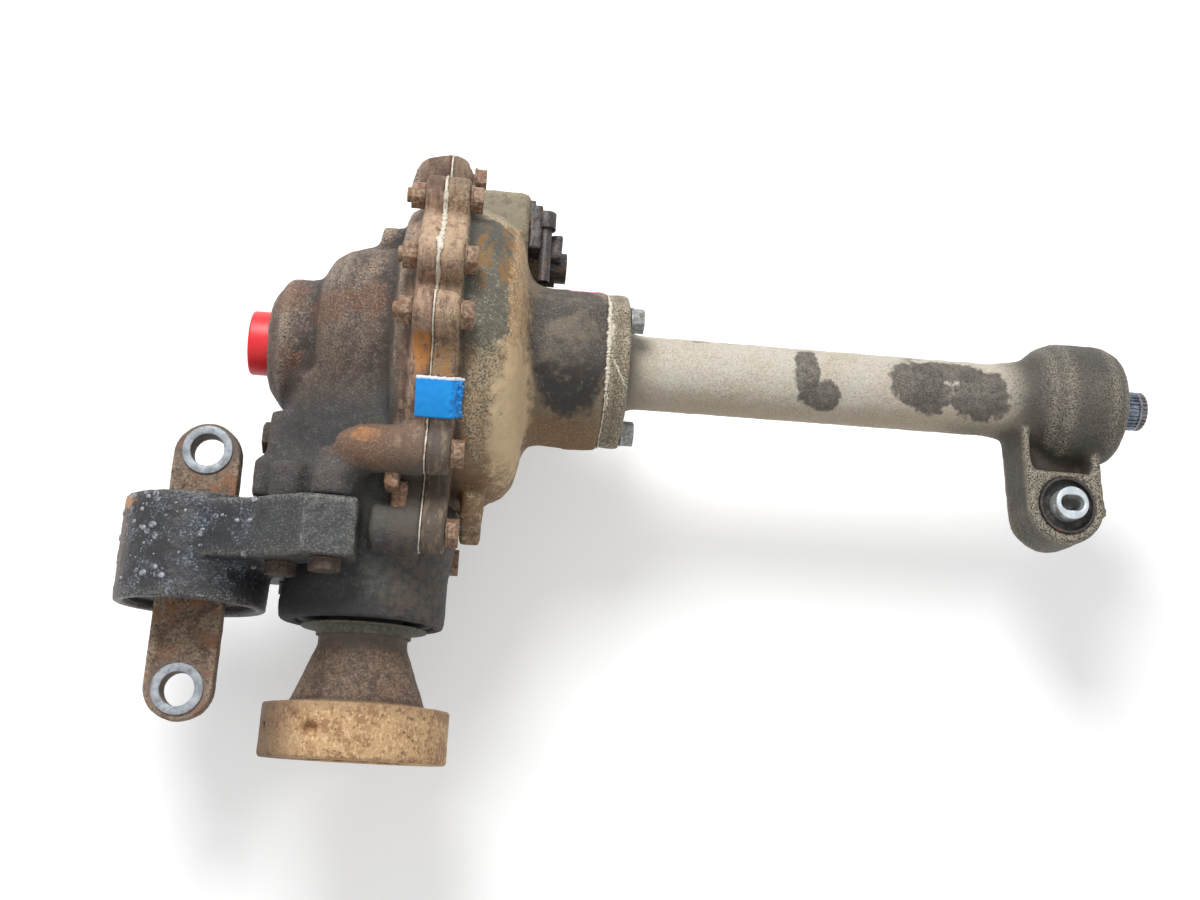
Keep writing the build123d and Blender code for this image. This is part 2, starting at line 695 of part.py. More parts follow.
with BuildPart() as tube_bearing_outer:
    revolve(outline(AXLE, *ball_race(ball_bearing_r, 1)), axis=line_of(AXLE))
    revolve(ball_groove(), axis=line_of(AXLE), mode=Mode.SUBTRACT)

with BuildPart() as tube_bearing_inner:
    revolve(outline(AXLE, *ball_race(shaft_r, -1)), axis=line_of(AXLE))
    revolve(ball_groove(), axis=line_of(AXLE), mode=Mode.SUBTRACT)

with BuildPart() as tube_bearing_balls:
    with Locations(*[(ball_mid_x, axle_y + y, z) for y, z in turn_places(ball_count, ball_circle_r)]):
        Sphere(ball_r)

with BuildPart() as tube_bearing_snap_ring:
    revolve(ring(AXLE, snap_ring_x, snap_ring_x + 2, ball_bearing_r - 3, snap_ring_r), axis=line_of(AXLE))
    with BuildSketch(across_axle(snap_ring_x)):
        with Locations((ball_bearing_r, 0)):
            Rectangle(16, 9)
    extrude(amount=2, mode=Mode.SUBTRACT)

# Left mount: the bracket with its ring, the rubber bush and the bar

with BuildPart() as mount_bracket:
    with BuildSketch(across_pinion(ring_top_s)):
        with Locations((ring_x, 0)):
            Circle(ring_r)
    extrude(amount=ring_bottom_s - ring_top_s)
    with BuildSketch(across_pinion(arm_top_s + 0.2)):
        Polygon((ring_x, -ring_r + 6), (-76, -56), (-54, -60), (-38, -52), (-4, 40), (-4, 86), (-36, 90),
                (-72, 64), (ring_x, ring_r - 4), align=None)
    extrude(amount=arm_bottom_s - arm_top_s - 0.2)
    revolve(outline(PINION, (ring_top_s - 9, 0), (ring_top_s - 9, pinion_body_r + 2.5),
                    (ring_bottom_s, pinion_body_r + 1), (ring_bottom_s, 0)),
            axis=line_of(PINION), mode=Mode.SUBTRACT)
    extrude(disc(across_pinion(ring_top_s), (ring_x, 0), ring_inner_r), amount=ring_bottom_s - ring_top_s,
            mode=Mode.SUBTRACT)
    with BuildSketch(across_pinion(arm_top_s)):
        with Locations(*arm_bolt_places):
            Circle(arm_bolt_r + bolt_gap)
    extrude(amount=arm_bottom_s - arm_top_s, mode=Mode.SUBTRACT)

with BuildPart() as bracket_bolts:
    for place in arm_bolt_places:
        add(bolt(across_pinion(arm_bottom_s), place, arm_bolt_r, arm_bottom_s - arm_top_s + 18, arm_head_r, 8))

with BuildPart() as mount_bush_sleeve:
    revolve(ring(MOUNT_RING, ring_top_s + 3, ring_bottom_s - 3, ring_inner_r - 2, ring_inner_r - press_gap),
            axis=line_of(MOUNT_RING))

with BuildPart() as mount_bush_rubber:
    extrude(disc(across_pinion(ring_top_s + 6), (ring_x, 0), ring_inner_r - 2),
            amount=ring_bottom_s - ring_top_s - 12)
    with BuildSketch(across_pinion(ring_top_s + 6)):
        with Locations((ring_x, 0)):
            Rectangle(bar_width, bar_thick)
        with Locations((ring_x, 24), (ring_x, -24)):
            SlotOverall(40, 11)
    extrude(amount=ring_bottom_s - ring_top_s - 12, mode=Mode.SUBTRACT)

with BuildPart() as mount_bush_bar:
    with BuildSketch(Plane(origin=(ring_x, axle_y - (bar_top_s + bar_bottom_s) / 2, -bar_thick / 2),
                           x_dir=(0, 1, 0), z_dir=(0, 0, 1))):
        SlotOverall(bar_bottom_s - bar_top_s, bar_width)
    extrude(amount=bar_thick)
    with BuildSketch(Plane(origin=(ring_x, axle_y, bar_thick / 2), x_dir=(0, -1, 0), z_dir=(0, 0, 1))):
        with Locations((bar_hole_s[0], 0), (bar_hole_s[1], 0)):
            Circle(bar_hole_r)
    extrude(amount=-bar_thick, mode=Mode.SUBTRACT)

with BuildPart() as bar_washers:
    for level in (bar_thick / 2, -bar_thick / 2 - 1.5):
        with BuildSketch(Plane(origin=(ring_x, axle_y, level), x_dir=(0, -1, 0), z_dir=(0, 0, 1))):
            with Locations((bar_hole_s[0], 0), (bar_hole_s[1], 0)):
                Circle(bar_hole_r + 5.5)
                Circle(bar_hole_r, mode=Mode.SUBTRACT)
        extrude(amount=1.5)

# Plug of the left output, and its seal

with BuildPart() as transport_plug:
    revolve(outline(AXLE, (boss_face_x - red_plug_length, 0), (boss_face_x - red_plug_length, port_r - 1),
                    (boss_face_x - red_plug_length + 1, port_r), (boss_face_x + red_plug_reach, port_r),
                    (boss_face_x + red_plug_reach, port_r - red_plug_wall),
                    (boss_face_x - red_plug_length + 4, port_r - red_plug_wall),
                    (boss_face_x - red_plug_length + 4, 0)),
            axis=line_of(AXLE))

with BuildPart() as output_seals:
    revolve(outline(AXLE, (boss_face_x + 1, port_seal_r - press_gap), (boss_face_x + 1, port_r + 2),
                    (boss_face_x + 3, port_r + 0.3), (boss_face_x + 8, port_r + 0.3),
                    (boss_face_x + 8, port_r + 5),
                    (port_seal_x, port_r + 5), (port_seal_x, port_seal_r - press_gap)),
            axis=line_of(AXLE))
    revolve(outline(AXLE, (tube_reach - 10, ball_bearing_r - press_gap), (tube_reach - 2, ball_bearing_r),
                    (tube_reach - 2, shaft_r + 5), (tube_reach - 4, shaft_r + 0.3),
                    (tube_reach - 8, shaft_r + 0.3), (tube_reach - 8, ball_bearing_r - 4),
                    (tube_reach - 10, ball_bearing_r - 4)),
            axis=line_of(AXLE))

# Breather at the back of the cover's block

with BuildPart() as breather_bracket:
    with BuildSketch(across_axle(block_x[1])):
        with Locations((sum(bracket_y) / 2, 0)):
            RectangleRounded(bracket_y[1] - bracket_y[0], 46, 6)
    extrude(amount=bracket_thick)
    with BuildSketch(across_pipe(bracket_y[0] + 1)):
        Circle(pipe_r + clip_wall)
        with Locations((-(pipe_x - block_x[1]) / 2, 0)):
            Rectangle(pipe_x - block_x[1], 8)
        Circle(pipe_r + press_gap, mode=Mode.SUBTRACT)
    extrude(amount=12)

with BuildPart() as breather_pipe:
    with BuildSketch(across_pipe(pipe_y[0])):
        Circle(pipe_r)
        Circle(pipe_r - pipe_wall, mode=Mode.SUBTRACT)
    extrude(amount=pipe_y[1] - pipe_y[0])

with BuildPart() as breather_valve:
    add(bolt(across_axle(valve_x), valve_place, 7, 11, 15, 10))
    extrude(disc(across_axle(valve_x + 9), valve_place, 11), amount=9)

# Differential case and its running gear

with BuildPart() as diff_case:
    revolve(outline(AXLE, (trunnion_end_left, side_hub_r + running_gap),
                    (trunnion_end_left, trunnion_r - press_gap),
                    (case_left_x, trunnion_r - press_gap), (case_left_x, 42), (case_left_x + 8, case_r),
                    (ring_back_x, case_r), (ring_back_x, case_flange_r),
                    (ring_back_x + case_flange_thick, case_flange_r), (ring_back_x + case_flange_thick, 40),
                    (right_bearing_x, 32), (right_bearing_x, trunnion_r - press_gap),
                    (trunnion_end_right, trunnion_r - press_gap),
                    (trunnion_end_right, side_hub_r + running_gap)),
            axis=line_of(AXLE))
    with BuildSketch(AXLE):
        with BuildLine():
            Line((-case_end_x, 0), (-case_end_x, case_end_r))
            Line((-case_end_x, case_end_r), (-case_turn_x, case_end_r))
            ThreePointArc((-case_turn_x, case_end_r), (0, case_inner_r), (case_turn_x, case_end_r))
            Line((case_turn_x, case_end_r), (case_end_x, case_end_r))
            Line((case_end_x, case_end_r), (case_end_x, 0))
            Line((case_end_x, 0), (-case_end_x, 0))
        make_face()
    revolve(axis=line_of(AXLE), mode=Mode.SUBTRACT)
    with BuildSketch(Plane(origin=(0, axle_y, 0), x_dir=(1, 0, 0), z_dir=(0, 1, 0))):
        with Locations((-6, 0)):
            RectangleRounded(34, 2 * window_half, 9)
    extrude(amount=60, both=True, mode=Mode.SUBTRACT)
    extrude(disc(Plane.XY.offset(-60), (0, axle_y), spider_pin_r + 0.01), amount=120, mode=Mode.SUBTRACT)
    with BuildSketch(across_axle(ring_back_x)):
        with Locations(*turn_places(ring_bolt_count, ring_bolt_circle_r)):
            Circle(cover_bolt_r + bolt_gap)
    extrude(amount=case_flange_thick, mode=Mode.SUBTRACT)
    extrude(disc(across_axle(case_left_x), (0, lock_pin_z), lock_pin_r + 0.01), amount=52, mode=Mode.SUBTRACT)

ring_rows = tooth_rows(ring_teeth, pinion_teeth, -pinion_shift, final_face)
pinion_rows = tooth_rows(pinion_teeth, ring_teeth, pinion_shift, final_face)
side_rows = tooth_rows(side_teeth, spider_teeth, 0, diff_face)
spider_rows = tooth_rows(spider_teeth, side_teeth, 0, diff_face)

with BuildPart() as ring_gear:
    revolve(outline(AXLE, ring_rows[0], ring_rows[1], (ring_rows[2][0] + 4, ring_back_r),
                    (ring_back_x, ring_back_r), (ring_back_x, ring_bore_r), (ring_rows[3][0] + 2, ring_bore_r),
                    (ring_rows[3][0] + 2, ring_rows[3][1])), axis=line_of(AXLE))
    add(cut_teeth(AXLE, ring_teeth, pinion_teeth, -pinion_shift, final_face, 180), mode=Mode.SUBTRACT)
    with BuildSketch(across_axle(ring_back_x)):
        with Locations(*turn_places(ring_bolt_count, ring_bolt_circle_r)):
            Circle(cover_bolt_r + press_gap)
    extrude(amount=-14, mode=Mode.SUBTRACT)

with BuildPart() as ring_gear_bolts:
    for place in turn_places(ring_bolt_count, ring_bolt_circle_r):
        add(bolt(across_axle(ring_back_x + case_flange_thick), place, cover_bolt_r, case_flange_thick + 13,
                 9, 6))

with BuildPart() as spider_pin:
    extrude(disc(Plane.XY.offset(-case_r + 0.5), (0, axle_y), spider_pin_r), amount=2 * case_r - 1)
    extrude(disc(across_axle(-30), (0, lock_pin_z), lock_pin_r + 0.01), amount=60, mode=Mode.SUBTRACT)

with BuildPart() as spider_lock_pin:
    extrude(disc(across_axle(case_left_x), (0, lock_pin_z), lock_pin_r), amount=50)


def side_gear(half_plane):
    """A side gear with its hub, seen from the crossing along its own line."""
    with BuildPart() as gear:
        revolve(outline(half_plane, side_rows[0], side_rows[1], (side_rows[2][0], side_rows[2][1]),
                        (case_end_x - 1, side_rows[2][1]), (case_end_x - 1, side_hub_r),
                        (case_end_x + 24, side_hub_r), (case_end_x + 24, side_bore_r),
                        (side_rows[3][0] - 1, side_bore_r), (side_rows[3][0] - 1, side_rows[3][1])),
                axis=line_of(half_plane))
        add(cut_teeth(half_plane, side_teeth, spider_teeth, 0, diff_face, 90 + 180 / side_teeth),
            mode=Mode.SUBTRACT)
    return gear.part


def spider_gear(half_plane):
    """A spider gear on the cross pin; its back is part of a ball."""
    heel = spider_rows[2]
    edge_r = heel[1] - 0.5
    with BuildPart() as gear:
        with BuildSketch(half_plane):
            with BuildLine():
                Polyline(back_point(spider_bore_r), (spider_rows[3][0] - 0.6, spider_bore_r),
                         (spider_rows[3][0] - 0.6, spider_rows[3][1]), spider_rows[0], spider_rows[1], heel,
                         (heel[0] + 0.5, edge_r), back_point(edge_r))
                ThreePointArc(back_point(edge_r), back_point((edge_r + spider_bore_r) / 2),
                              back_point(spider_bore_r))
            make_face()
        revolve(axis=line_of(half_plane))
        add(cut_teeth(half_plane, spider_teeth, side_teeth, 0, diff_face, 0), mode=Mode.SUBTRACT)
    return gear.part


with BuildPart() as left_side_gear:
    add(side_gear(LEFTWARD))

with BuildPart() as right_side_gear:
    add(side_gear(AXLE))

with BuildPart() as spider_gear_a:
    add(spider_gear(SPIDER_A))

with BuildPart() as spider_gear_b:
    add(spider_gear(SPIDER_B))

with BuildPart() as side_thrust_washers:
    for half_plane in (LEFTWARD, AXLE):
        revolve(ring(half_plane, case_end_x - 0.9, case_end_x, side_hub_r + 0.4, case_end_r - 4),
                axis=line_of(half_plane))

with BuildPart() as right_axle_shaft:
    revolve(outline(AXLE, (shaft_start_x, 0), (shaft_start_x, side_bore_r - press_gap),
                    (60, side_bore_r - press_gap), (64, shaft_r), (ball_bearing_x - 14, shaft_r),
                    (ball_bearing_x - 12, shaft_r + 2), (ball_bearing_x, shaft_r + 2),
                    (ball_bearing_x, shaft_r - press_gap), (tube_reach - 1, shaft_r - press_gap),
                    (tube_reach, 12.5), (tube_reach, 0)), axis=line_of(AXLE))
    with BuildSketch(across_axle(tube_reach)):
        Circle(shaft_spline_r - 1.5)
        with PolarLocations(shaft_spline_r - 1.2, shaft_spline_teeth):
            Trapezoid(1.9, 2.4, 72, rotation=-90)
    extrude(amount=shaft_end_x - tube_reach)
    revolve(outline(AXLE, (shaft_end_x - 2, shaft_spline_r + 1), (shaft_end_x + 1, shaft_spline_r + 1),
                    (shaft_end_x + 1, shaft_spline_r - 2)), axis=line_of(AXLE), mode=Mode.SUBTRACT)
    revolve(ring(AXLE, clip_x - 1, clip_x + 1, shaft_spline_r - 2.2, shaft_spline_r + 2), axis=line_of(AXLE),
            mode=Mode.SUBTRACT)

with BuildPart() as shaft_clip:
    revolve(ring(AXLE, clip_x - 0.9, clip_x + 0.9, shaft_spline_r - 2, shaft_spline_r - 0.3),
            axis=line_of(AXLE))
    with BuildSketch(across_axle(clip_x - 1)):
        with Locations((shaft_spline_r, 0)):
            Rectangle(8, 6)
    extrude(amount=2, mode=Mode.SUBTRACT)

# Carrier bearings

carrier_bearing = (carrier_bearing_width, trunnion_r, carrier_bearing_r, carrier_roller_r)
left_bearing = (AXLE, case_left_x, -1, *carrier_bearing)
right_bearing = (AXLE, right_bearing_x, 1, *carrier_bearing)
head_bearing = (PINION, pinion_head_s, 1, pinion_head_width, pinion_head_bore_r, pinion_bearing_r,
                pinion_roller_r)
tail_bearing = (PINION, pinion_tail_s, -1, pinion_tail_width, pinion_tail_bore_r, pinion_bearing_r,
                pinion_roller_r)

with BuildPart() as left_bearing_cone:
    revolve(bearing_cone(*left_bearing), axis=line_of(AXLE))

with BuildPart() as left_bearing_cup:
    revolve(bearing_cup(*left_bearing), axis=line_of(AXLE))

with BuildPart() as left_bearing_rollers:
    add(roller_set(*left_bearing, carrier_rollers))

with BuildPart() as right_bearing_cone:
    revolve(bearing_cone(*right_bearing), axis=line_of(AXLE))

with BuildPart() as right_bearing_cup:
    revolve(bearing_cup(*right_bearing), axis=line_of(AXLE))

with BuildPart() as right_bearing_rollers:
    add(roller_set(*right_bearing, carrier_rollers))

with BuildPart() as carrier_shims:
    for seat in (left_seat_x, right_seat_x - shim_thick):
        revolve(ring(AXLE, seat, seat + shim_thick, port_shoulder_r + 0.5, carrier_bearing_r - 0.1),
                axis=line_of(AXLE))

# Pinion, its bearings, seal and companion flange

with BuildPart() as pinion_gear:
    revolve(outline(PINION, (pinion_rows[3][0] - 0.5, 0), (pinion_rows[3][0] - 0.5, pinion_rows[3][1] - 1),
                    pinion_rows[3], pinion_rows[0], pinion_rows[1], (pinion_rows[2][0], pinion_rows[2][1]),
                    (pinion_rows[2][0] + 6, 24), (pinion_head_s, 24),
                    (pinion_head_s, pinion_head_bore_r - press_gap),
                    (pinion_head_s + 36, pinion_head_bore_r - press_gap),
                    (pinion_head_s + 36, pinion_tail_bore_r - press_gap),
                    (pinion_tail_s + 1, pinion_tail_bore_r - press_gap), (pinion_tail_s + 1, pinion_end_r),
                    (pinion_end_s, pinion_end_r), (pinion_end_s, 0)), axis=line_of(PINION))
    add(cut_teeth(PINION, pinion_teeth, ring_teeth, pinion_shift, final_face, 180 / pinion_teeth),
        mode=Mode.SUBTRACT)

with BuildPart() as pinion_head_cone:
    revolve(bearing_cone(*head_bearing), axis=line_of(PINION))

with BuildPart() as pinion_head_cup:
    revolve(bearing_cup(*head_bearing), axis=line_of(PINION))

with BuildPart() as pinion_head_rollers:
    add(roller_set(*head_bearing, pinion_rollers))

with BuildPart() as pinion_tail_cone:
    revolve(bearing_cone(*tail_bearing), axis=line_of(PINION))

with BuildPart() as pinion_tail_cup:
    revolve(bearing_cup(*tail_bearing), axis=line_of(PINION))

with BuildPart() as pinion_tail_rollers:
    add(roller_set(*tail_bearing, pinion_rollers))

with BuildPart() as crush_sleeve:
    sleeve_start = pinion_head_s + pinion_head_width - 2
    sleeve_end = pinion_tail_s - pinion_tail_width + 2
    revolve(outline(PINION, (sleeve_start, pinion_head_bore_r + 0.1), (sleeve_start, pinion_head_bore_r + 2.4),
                    (sleeve_start + 6, pinion_head_bore_r + 2.4), (sleeve_start + 10, pinion_head_bore_r + 4.5),
                    (sleeve_end - 6, pinion_head_bore_r + 2.4), (sleeve_end, pinion_head_bore_r + 2.4),
                    (sleeve_end, pinion_head_bore_r + 0.1)), axis=line_of(PINION))

with BuildPart() as pinion_cup_spacer:
    revolve(ring(PINION, pinion_head_s + pinion_head_width, pinion_tail_s - pinion_tail_width,
                 pinion_bearing_r - 4, pinion_bearing_r - press_gap), axis=line_of(PINION))

with BuildPart() as pinion_lock_ring:
    revolve(ring(PINION, pinion_tail_s - 3, pinion_seal_s - 1, pinion_bearing_r - 4,
                 pinion_bearing_r - press_gap), axis=line_of(PINION))

with BuildPart() as pinion_seal:
    revolve(outline(PINION, (pinion_seal_s, pinion_seal_r - press_gap),
                    (pinion_seal_s + pinion_seal_width, pinion_seal_r - press_gap),
                    (pinion_seal_s + pinion_seal_width, seal_lip_r), (pinion_seal_s + 9, flange_hub_r + 0.3),
                    (pinion_seal_s + 4, flange_hub_r + 0.3), (pinion_seal_s + 2, seal_lip_r),
                    (pinion_seal_s + 2, 40), (pinion_seal_s, 40)), axis=line_of(PINION))

with BuildPart() as pinion_flange:
    revolve(outline(PINION, (pinion_tail_s + 1, pinion_end_r + press_gap), (pinion_tail_s + 1, flange_hub_r),
                    (nose_s + 1, flange_hub_r), (nose_s + 1, flange_neck_r), (nose_s + 14, flange_neck_r),
                    (flange_back_s, flange_cone_r), (flange_back_s, flange_r - 1),
                    (flange_back_s + 1, flange_r), (axle_y - 1, flange_r), (axle_y, flange_r - 1), (axle_y, flange_recess_r),
                    (recess_s, flange_recess_r), (recess_s, pinion_end_r + press_gap)), axis=line_of(PINION))
    with BuildSketch(across_pinion(axle_y)):
        with PolarLocations(flange_bolt_circle_r, flange_bolt_count, start_angle=45):
            Circle(flange_bolt_r)
    extrude(amount=-24, mode=Mode.SUBTRACT)
    for angle in (22.5, 67.5):
        with BuildSketch(Plane(origin=(-(flange_r + 2) * sin(radians(angle)), flange_rim / 2,
                                       (flange_r + 2) * cos(radians(angle))),
                               x_dir=(0, 1, 0), z_dir=(-sin(radians(angle)), 0, cos(radians(angle))))):
            Circle(balance_hole_r)
        extrude(amount=-8, mode=Mode.SUBTRACT)

with BuildPart() as dust_shield:
    revolve(outline(PINION, (nose_s + 1.5, flange_neck_r + press_gap), (nose_s + 1.5, 41), (nose_s + 3, 41),
                    (nose_s + 3, 31), (nose_s + 8, 31), (nose_s + 8, flange_neck_r + press_gap)),
            axis=line_of(PINION))

with BuildPart() as pinion_nut:
    with BuildSketch(across_pinion(recess_s + 2)):
        RegularPolygon(25, 6)
        Circle(pinion_end_r + press_gap, mode=Mode.SUBTRACT)
    extrude(amount=12)
    revolve(ring(PINION, recess_s, recess_s + 2, pinion_end_r + press_gap, 27), axis=line_of(PINION))

pieces = dict(
    carrier_housing=carrier_housing, housing_cover=housing_cover, cover_seal=cover_seal, cover_bolts=cover_bolts,
    cover_nuts=cover_nuts, fill_plug=fill_plug, axle_tube=axle_tube, tube_gasket=tube_gasket,
    tube_bolts=tube_bolts, tube_bush_outer=tube_bush_outer, tube_bush_rubber=tube_bush_rubber,
    tube_bush_inner=tube_bush_inner, tube_bearing_outer=tube_bearing_outer,
    tube_bearing_inner=tube_bearing_inner,
    tube_bearing_balls=tube_bearing_balls, tube_bearing_snap_ring=tube_bearing_snap_ring,
    mount_bracket=mount_bracket, bracket_bolts=bracket_bolts,
    mount_bush_sleeve=mount_bush_sleeve, mount_bush_rubber=mount_bush_rubber, mount_bush_bar=mount_bush_bar,
    bar_washers=bar_washers, transport_plug=transport_plug, output_seals=output_seals,
    breather_bracket=breather_bracket, breather_pipe=breather_pipe, breather_valve=breather_valve,
    diff_case=diff_case, ring_gear=ring_gear, ring_gear_bolts=ring_gear_bolts, spider_pin=spider_pin,
    spider_lock_pin=spider_lock_pin, left_side_gear=left_side_gear, right_side_gear=right_side_gear,
    spider_gear_a=spider_gear_a, spider_gear_b=spider_gear_b, side_thrust_washers=side_thrust_washers,
    right_axle_shaft=right_axle_shaft, shaft_clip=shaft_clip, left_bearing_cone=left_bearing_cone,
    left_bearing_cup=left_bearing_cup, left_bearing_rollers=left_bearing_rollers,
    right_bearing_cone=right_bearing_cone, right_bearing_cup=right_bearing_cup,
    right_bearing_rollers=right_bearing_rollers, carrier_shims=carrier_shims, pinion_gear=pinion_gear,
    pinion_head_cone=pinion_head_cone, pinion_head_cup=pinion_head_cup, pinion_head_rollers=pinion_head_rollers,
    pinion_tail_cone=pinion_tail_cone, pinion_tail_cup=pinion_tail_cup, pinion_tail_rollers=pinion_tail_rollers,
    crush_sleeve=crush_sleeve, pinion_cup_spacer=pinion_cup_spacer, pinion_lock_ring=pinion_lock_ring,
    pinion_seal=pinion_seal, pinion_flange=pinion_flange, dust_shield=dust_shield,
    pinion_nut=pinion_nut)

os.makedirs("parts", exist_ok=True)
for name, piece in pieces.items():
    piece.part.label = name
    export_step(piece.part, f"parts/{name}.step")
    print(name, len(piece.part.solids()), round(piece.part.volume))
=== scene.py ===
# %% [markdown]
# A used front differential lies on a pale floor: rusty iron castings, a pale aluminium axle tube,
# a black painted rubber mount, a red shipping plug and a strip of blue tape.
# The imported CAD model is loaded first, and every piece below is made around it, in metres.

# %% Load the frame
import math

import bpy
import bmesh
import numpy as np
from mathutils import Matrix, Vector, noise
from mathutils.bvhtree import BVHTree


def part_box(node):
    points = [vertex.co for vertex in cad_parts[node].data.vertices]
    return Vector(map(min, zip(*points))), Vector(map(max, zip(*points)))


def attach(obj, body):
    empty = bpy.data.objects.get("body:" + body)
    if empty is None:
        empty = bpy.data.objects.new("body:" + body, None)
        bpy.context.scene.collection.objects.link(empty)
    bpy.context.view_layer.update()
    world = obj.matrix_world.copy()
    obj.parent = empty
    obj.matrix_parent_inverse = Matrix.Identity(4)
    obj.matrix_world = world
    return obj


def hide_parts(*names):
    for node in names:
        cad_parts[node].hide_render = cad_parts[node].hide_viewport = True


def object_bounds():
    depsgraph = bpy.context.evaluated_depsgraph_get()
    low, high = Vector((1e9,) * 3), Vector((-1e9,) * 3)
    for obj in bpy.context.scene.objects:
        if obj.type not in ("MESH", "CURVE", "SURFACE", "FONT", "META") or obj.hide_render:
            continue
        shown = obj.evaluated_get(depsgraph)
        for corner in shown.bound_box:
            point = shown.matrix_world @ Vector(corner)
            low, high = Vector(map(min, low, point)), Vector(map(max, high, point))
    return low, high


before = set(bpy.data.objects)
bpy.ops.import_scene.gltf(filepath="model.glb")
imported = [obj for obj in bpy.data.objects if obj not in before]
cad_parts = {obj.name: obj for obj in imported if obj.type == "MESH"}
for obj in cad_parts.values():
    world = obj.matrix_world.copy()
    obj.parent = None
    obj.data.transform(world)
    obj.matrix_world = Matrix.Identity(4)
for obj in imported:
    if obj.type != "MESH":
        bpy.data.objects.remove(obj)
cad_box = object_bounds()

MM = 0.001
print("nodes", len(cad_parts), "box", [round(v, 3) for v in (*cad_box[0], *cad_box[1])])

# %% [markdown]
# Places that several steps use. They are read from the model, so they follow it if it is packed again:
# the axle line, the joint between the two housings, the mount's ring and bar, and the ends of the tube.

# %% Shared places
axle_y = sum(v.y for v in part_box("right_axle_shaft")) / 2
axle_mm = axle_y / MM
split_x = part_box("cover_seal")[0].x
rim_right_x = split_x + 16 * MM
tube_start_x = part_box("tube_gasket")[1].x
tube_end_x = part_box("axle_tube")[1].x
ring_low, ring_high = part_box("mount_bracket")
ring_centre_x = ring_low.x + 48.5 * MM
bar_low, bar_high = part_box("mount_bush_bar")
nose_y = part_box("carrier_housing")[0].y
floor_z = cad_box[0].z


def spot(x, up, z):
    """A place in metres from x, the height above the axle line and z in millimetres."""
    return np.array((x, axle_mm + up, z)) * MM


print("axle line y", round(axle_y, 4), "split x", round(split_x, 4), "floor z", round(floor_z, 4))

# %% [markdown]
# A casting's colour is never even: sand grain, oil, dust and rust each cover it at their own scale.
# A picture wrapped round it would stretch at the sides, so each finish is a stack of thin coats over a
# base colour, all on Object coordinates: the pieces sit at the origin, so the pattern stays on the metal
# when it turns. The helpers turn screen colours into shader colours, and add nodes that are linked up.


# %% Node helpers
def linear(red, green, blue):
    """A colour given as it looks on a screen, 0 to 255, in the linear values that shaders take."""
    def one(value):
        value /= 255
        return value / 12.92 if value <= 0.04045 else ((value + 0.055) / 1.055) ** 2.4
    return (one(red), one(green), one(blue), 1.0)


def give(tree, socket, value):
    """Links a socket to another node's output, or sets it to a value."""
    if isinstance(value, bpy.types.NodeSocket):
        tree.links.new(value, socket)
    else:
        socket.default_value = value


def put(tree, kind, inputs=None, **settings):
    """Adds a node; inputs are values or other nodes' outputs, settings are the node's own properties."""
    node = tree.nodes.new(kind)
    for name, value in settings.items():
        setattr(node, name, value)
    for name, value in (inputs or {}).items():
        give(tree, node.inputs[name], value)
    return node


print("linear grey", [round(v, 3) for v in linear(128, 128, 128)])

# %% [markdown]
# A finish needs masks: where along the part, inside which blotch, on which grains, on which worn edge.
# A mask is written as (field, low, high) and rises smoothly from 0 at low to 1 at high. Its field is a
# noise, or x, y or z in millimetres, or up, the height above the axle line in millimetres. The words
# edge and hollow stand for worn edges and grimy hollows, which the skins store with each point.


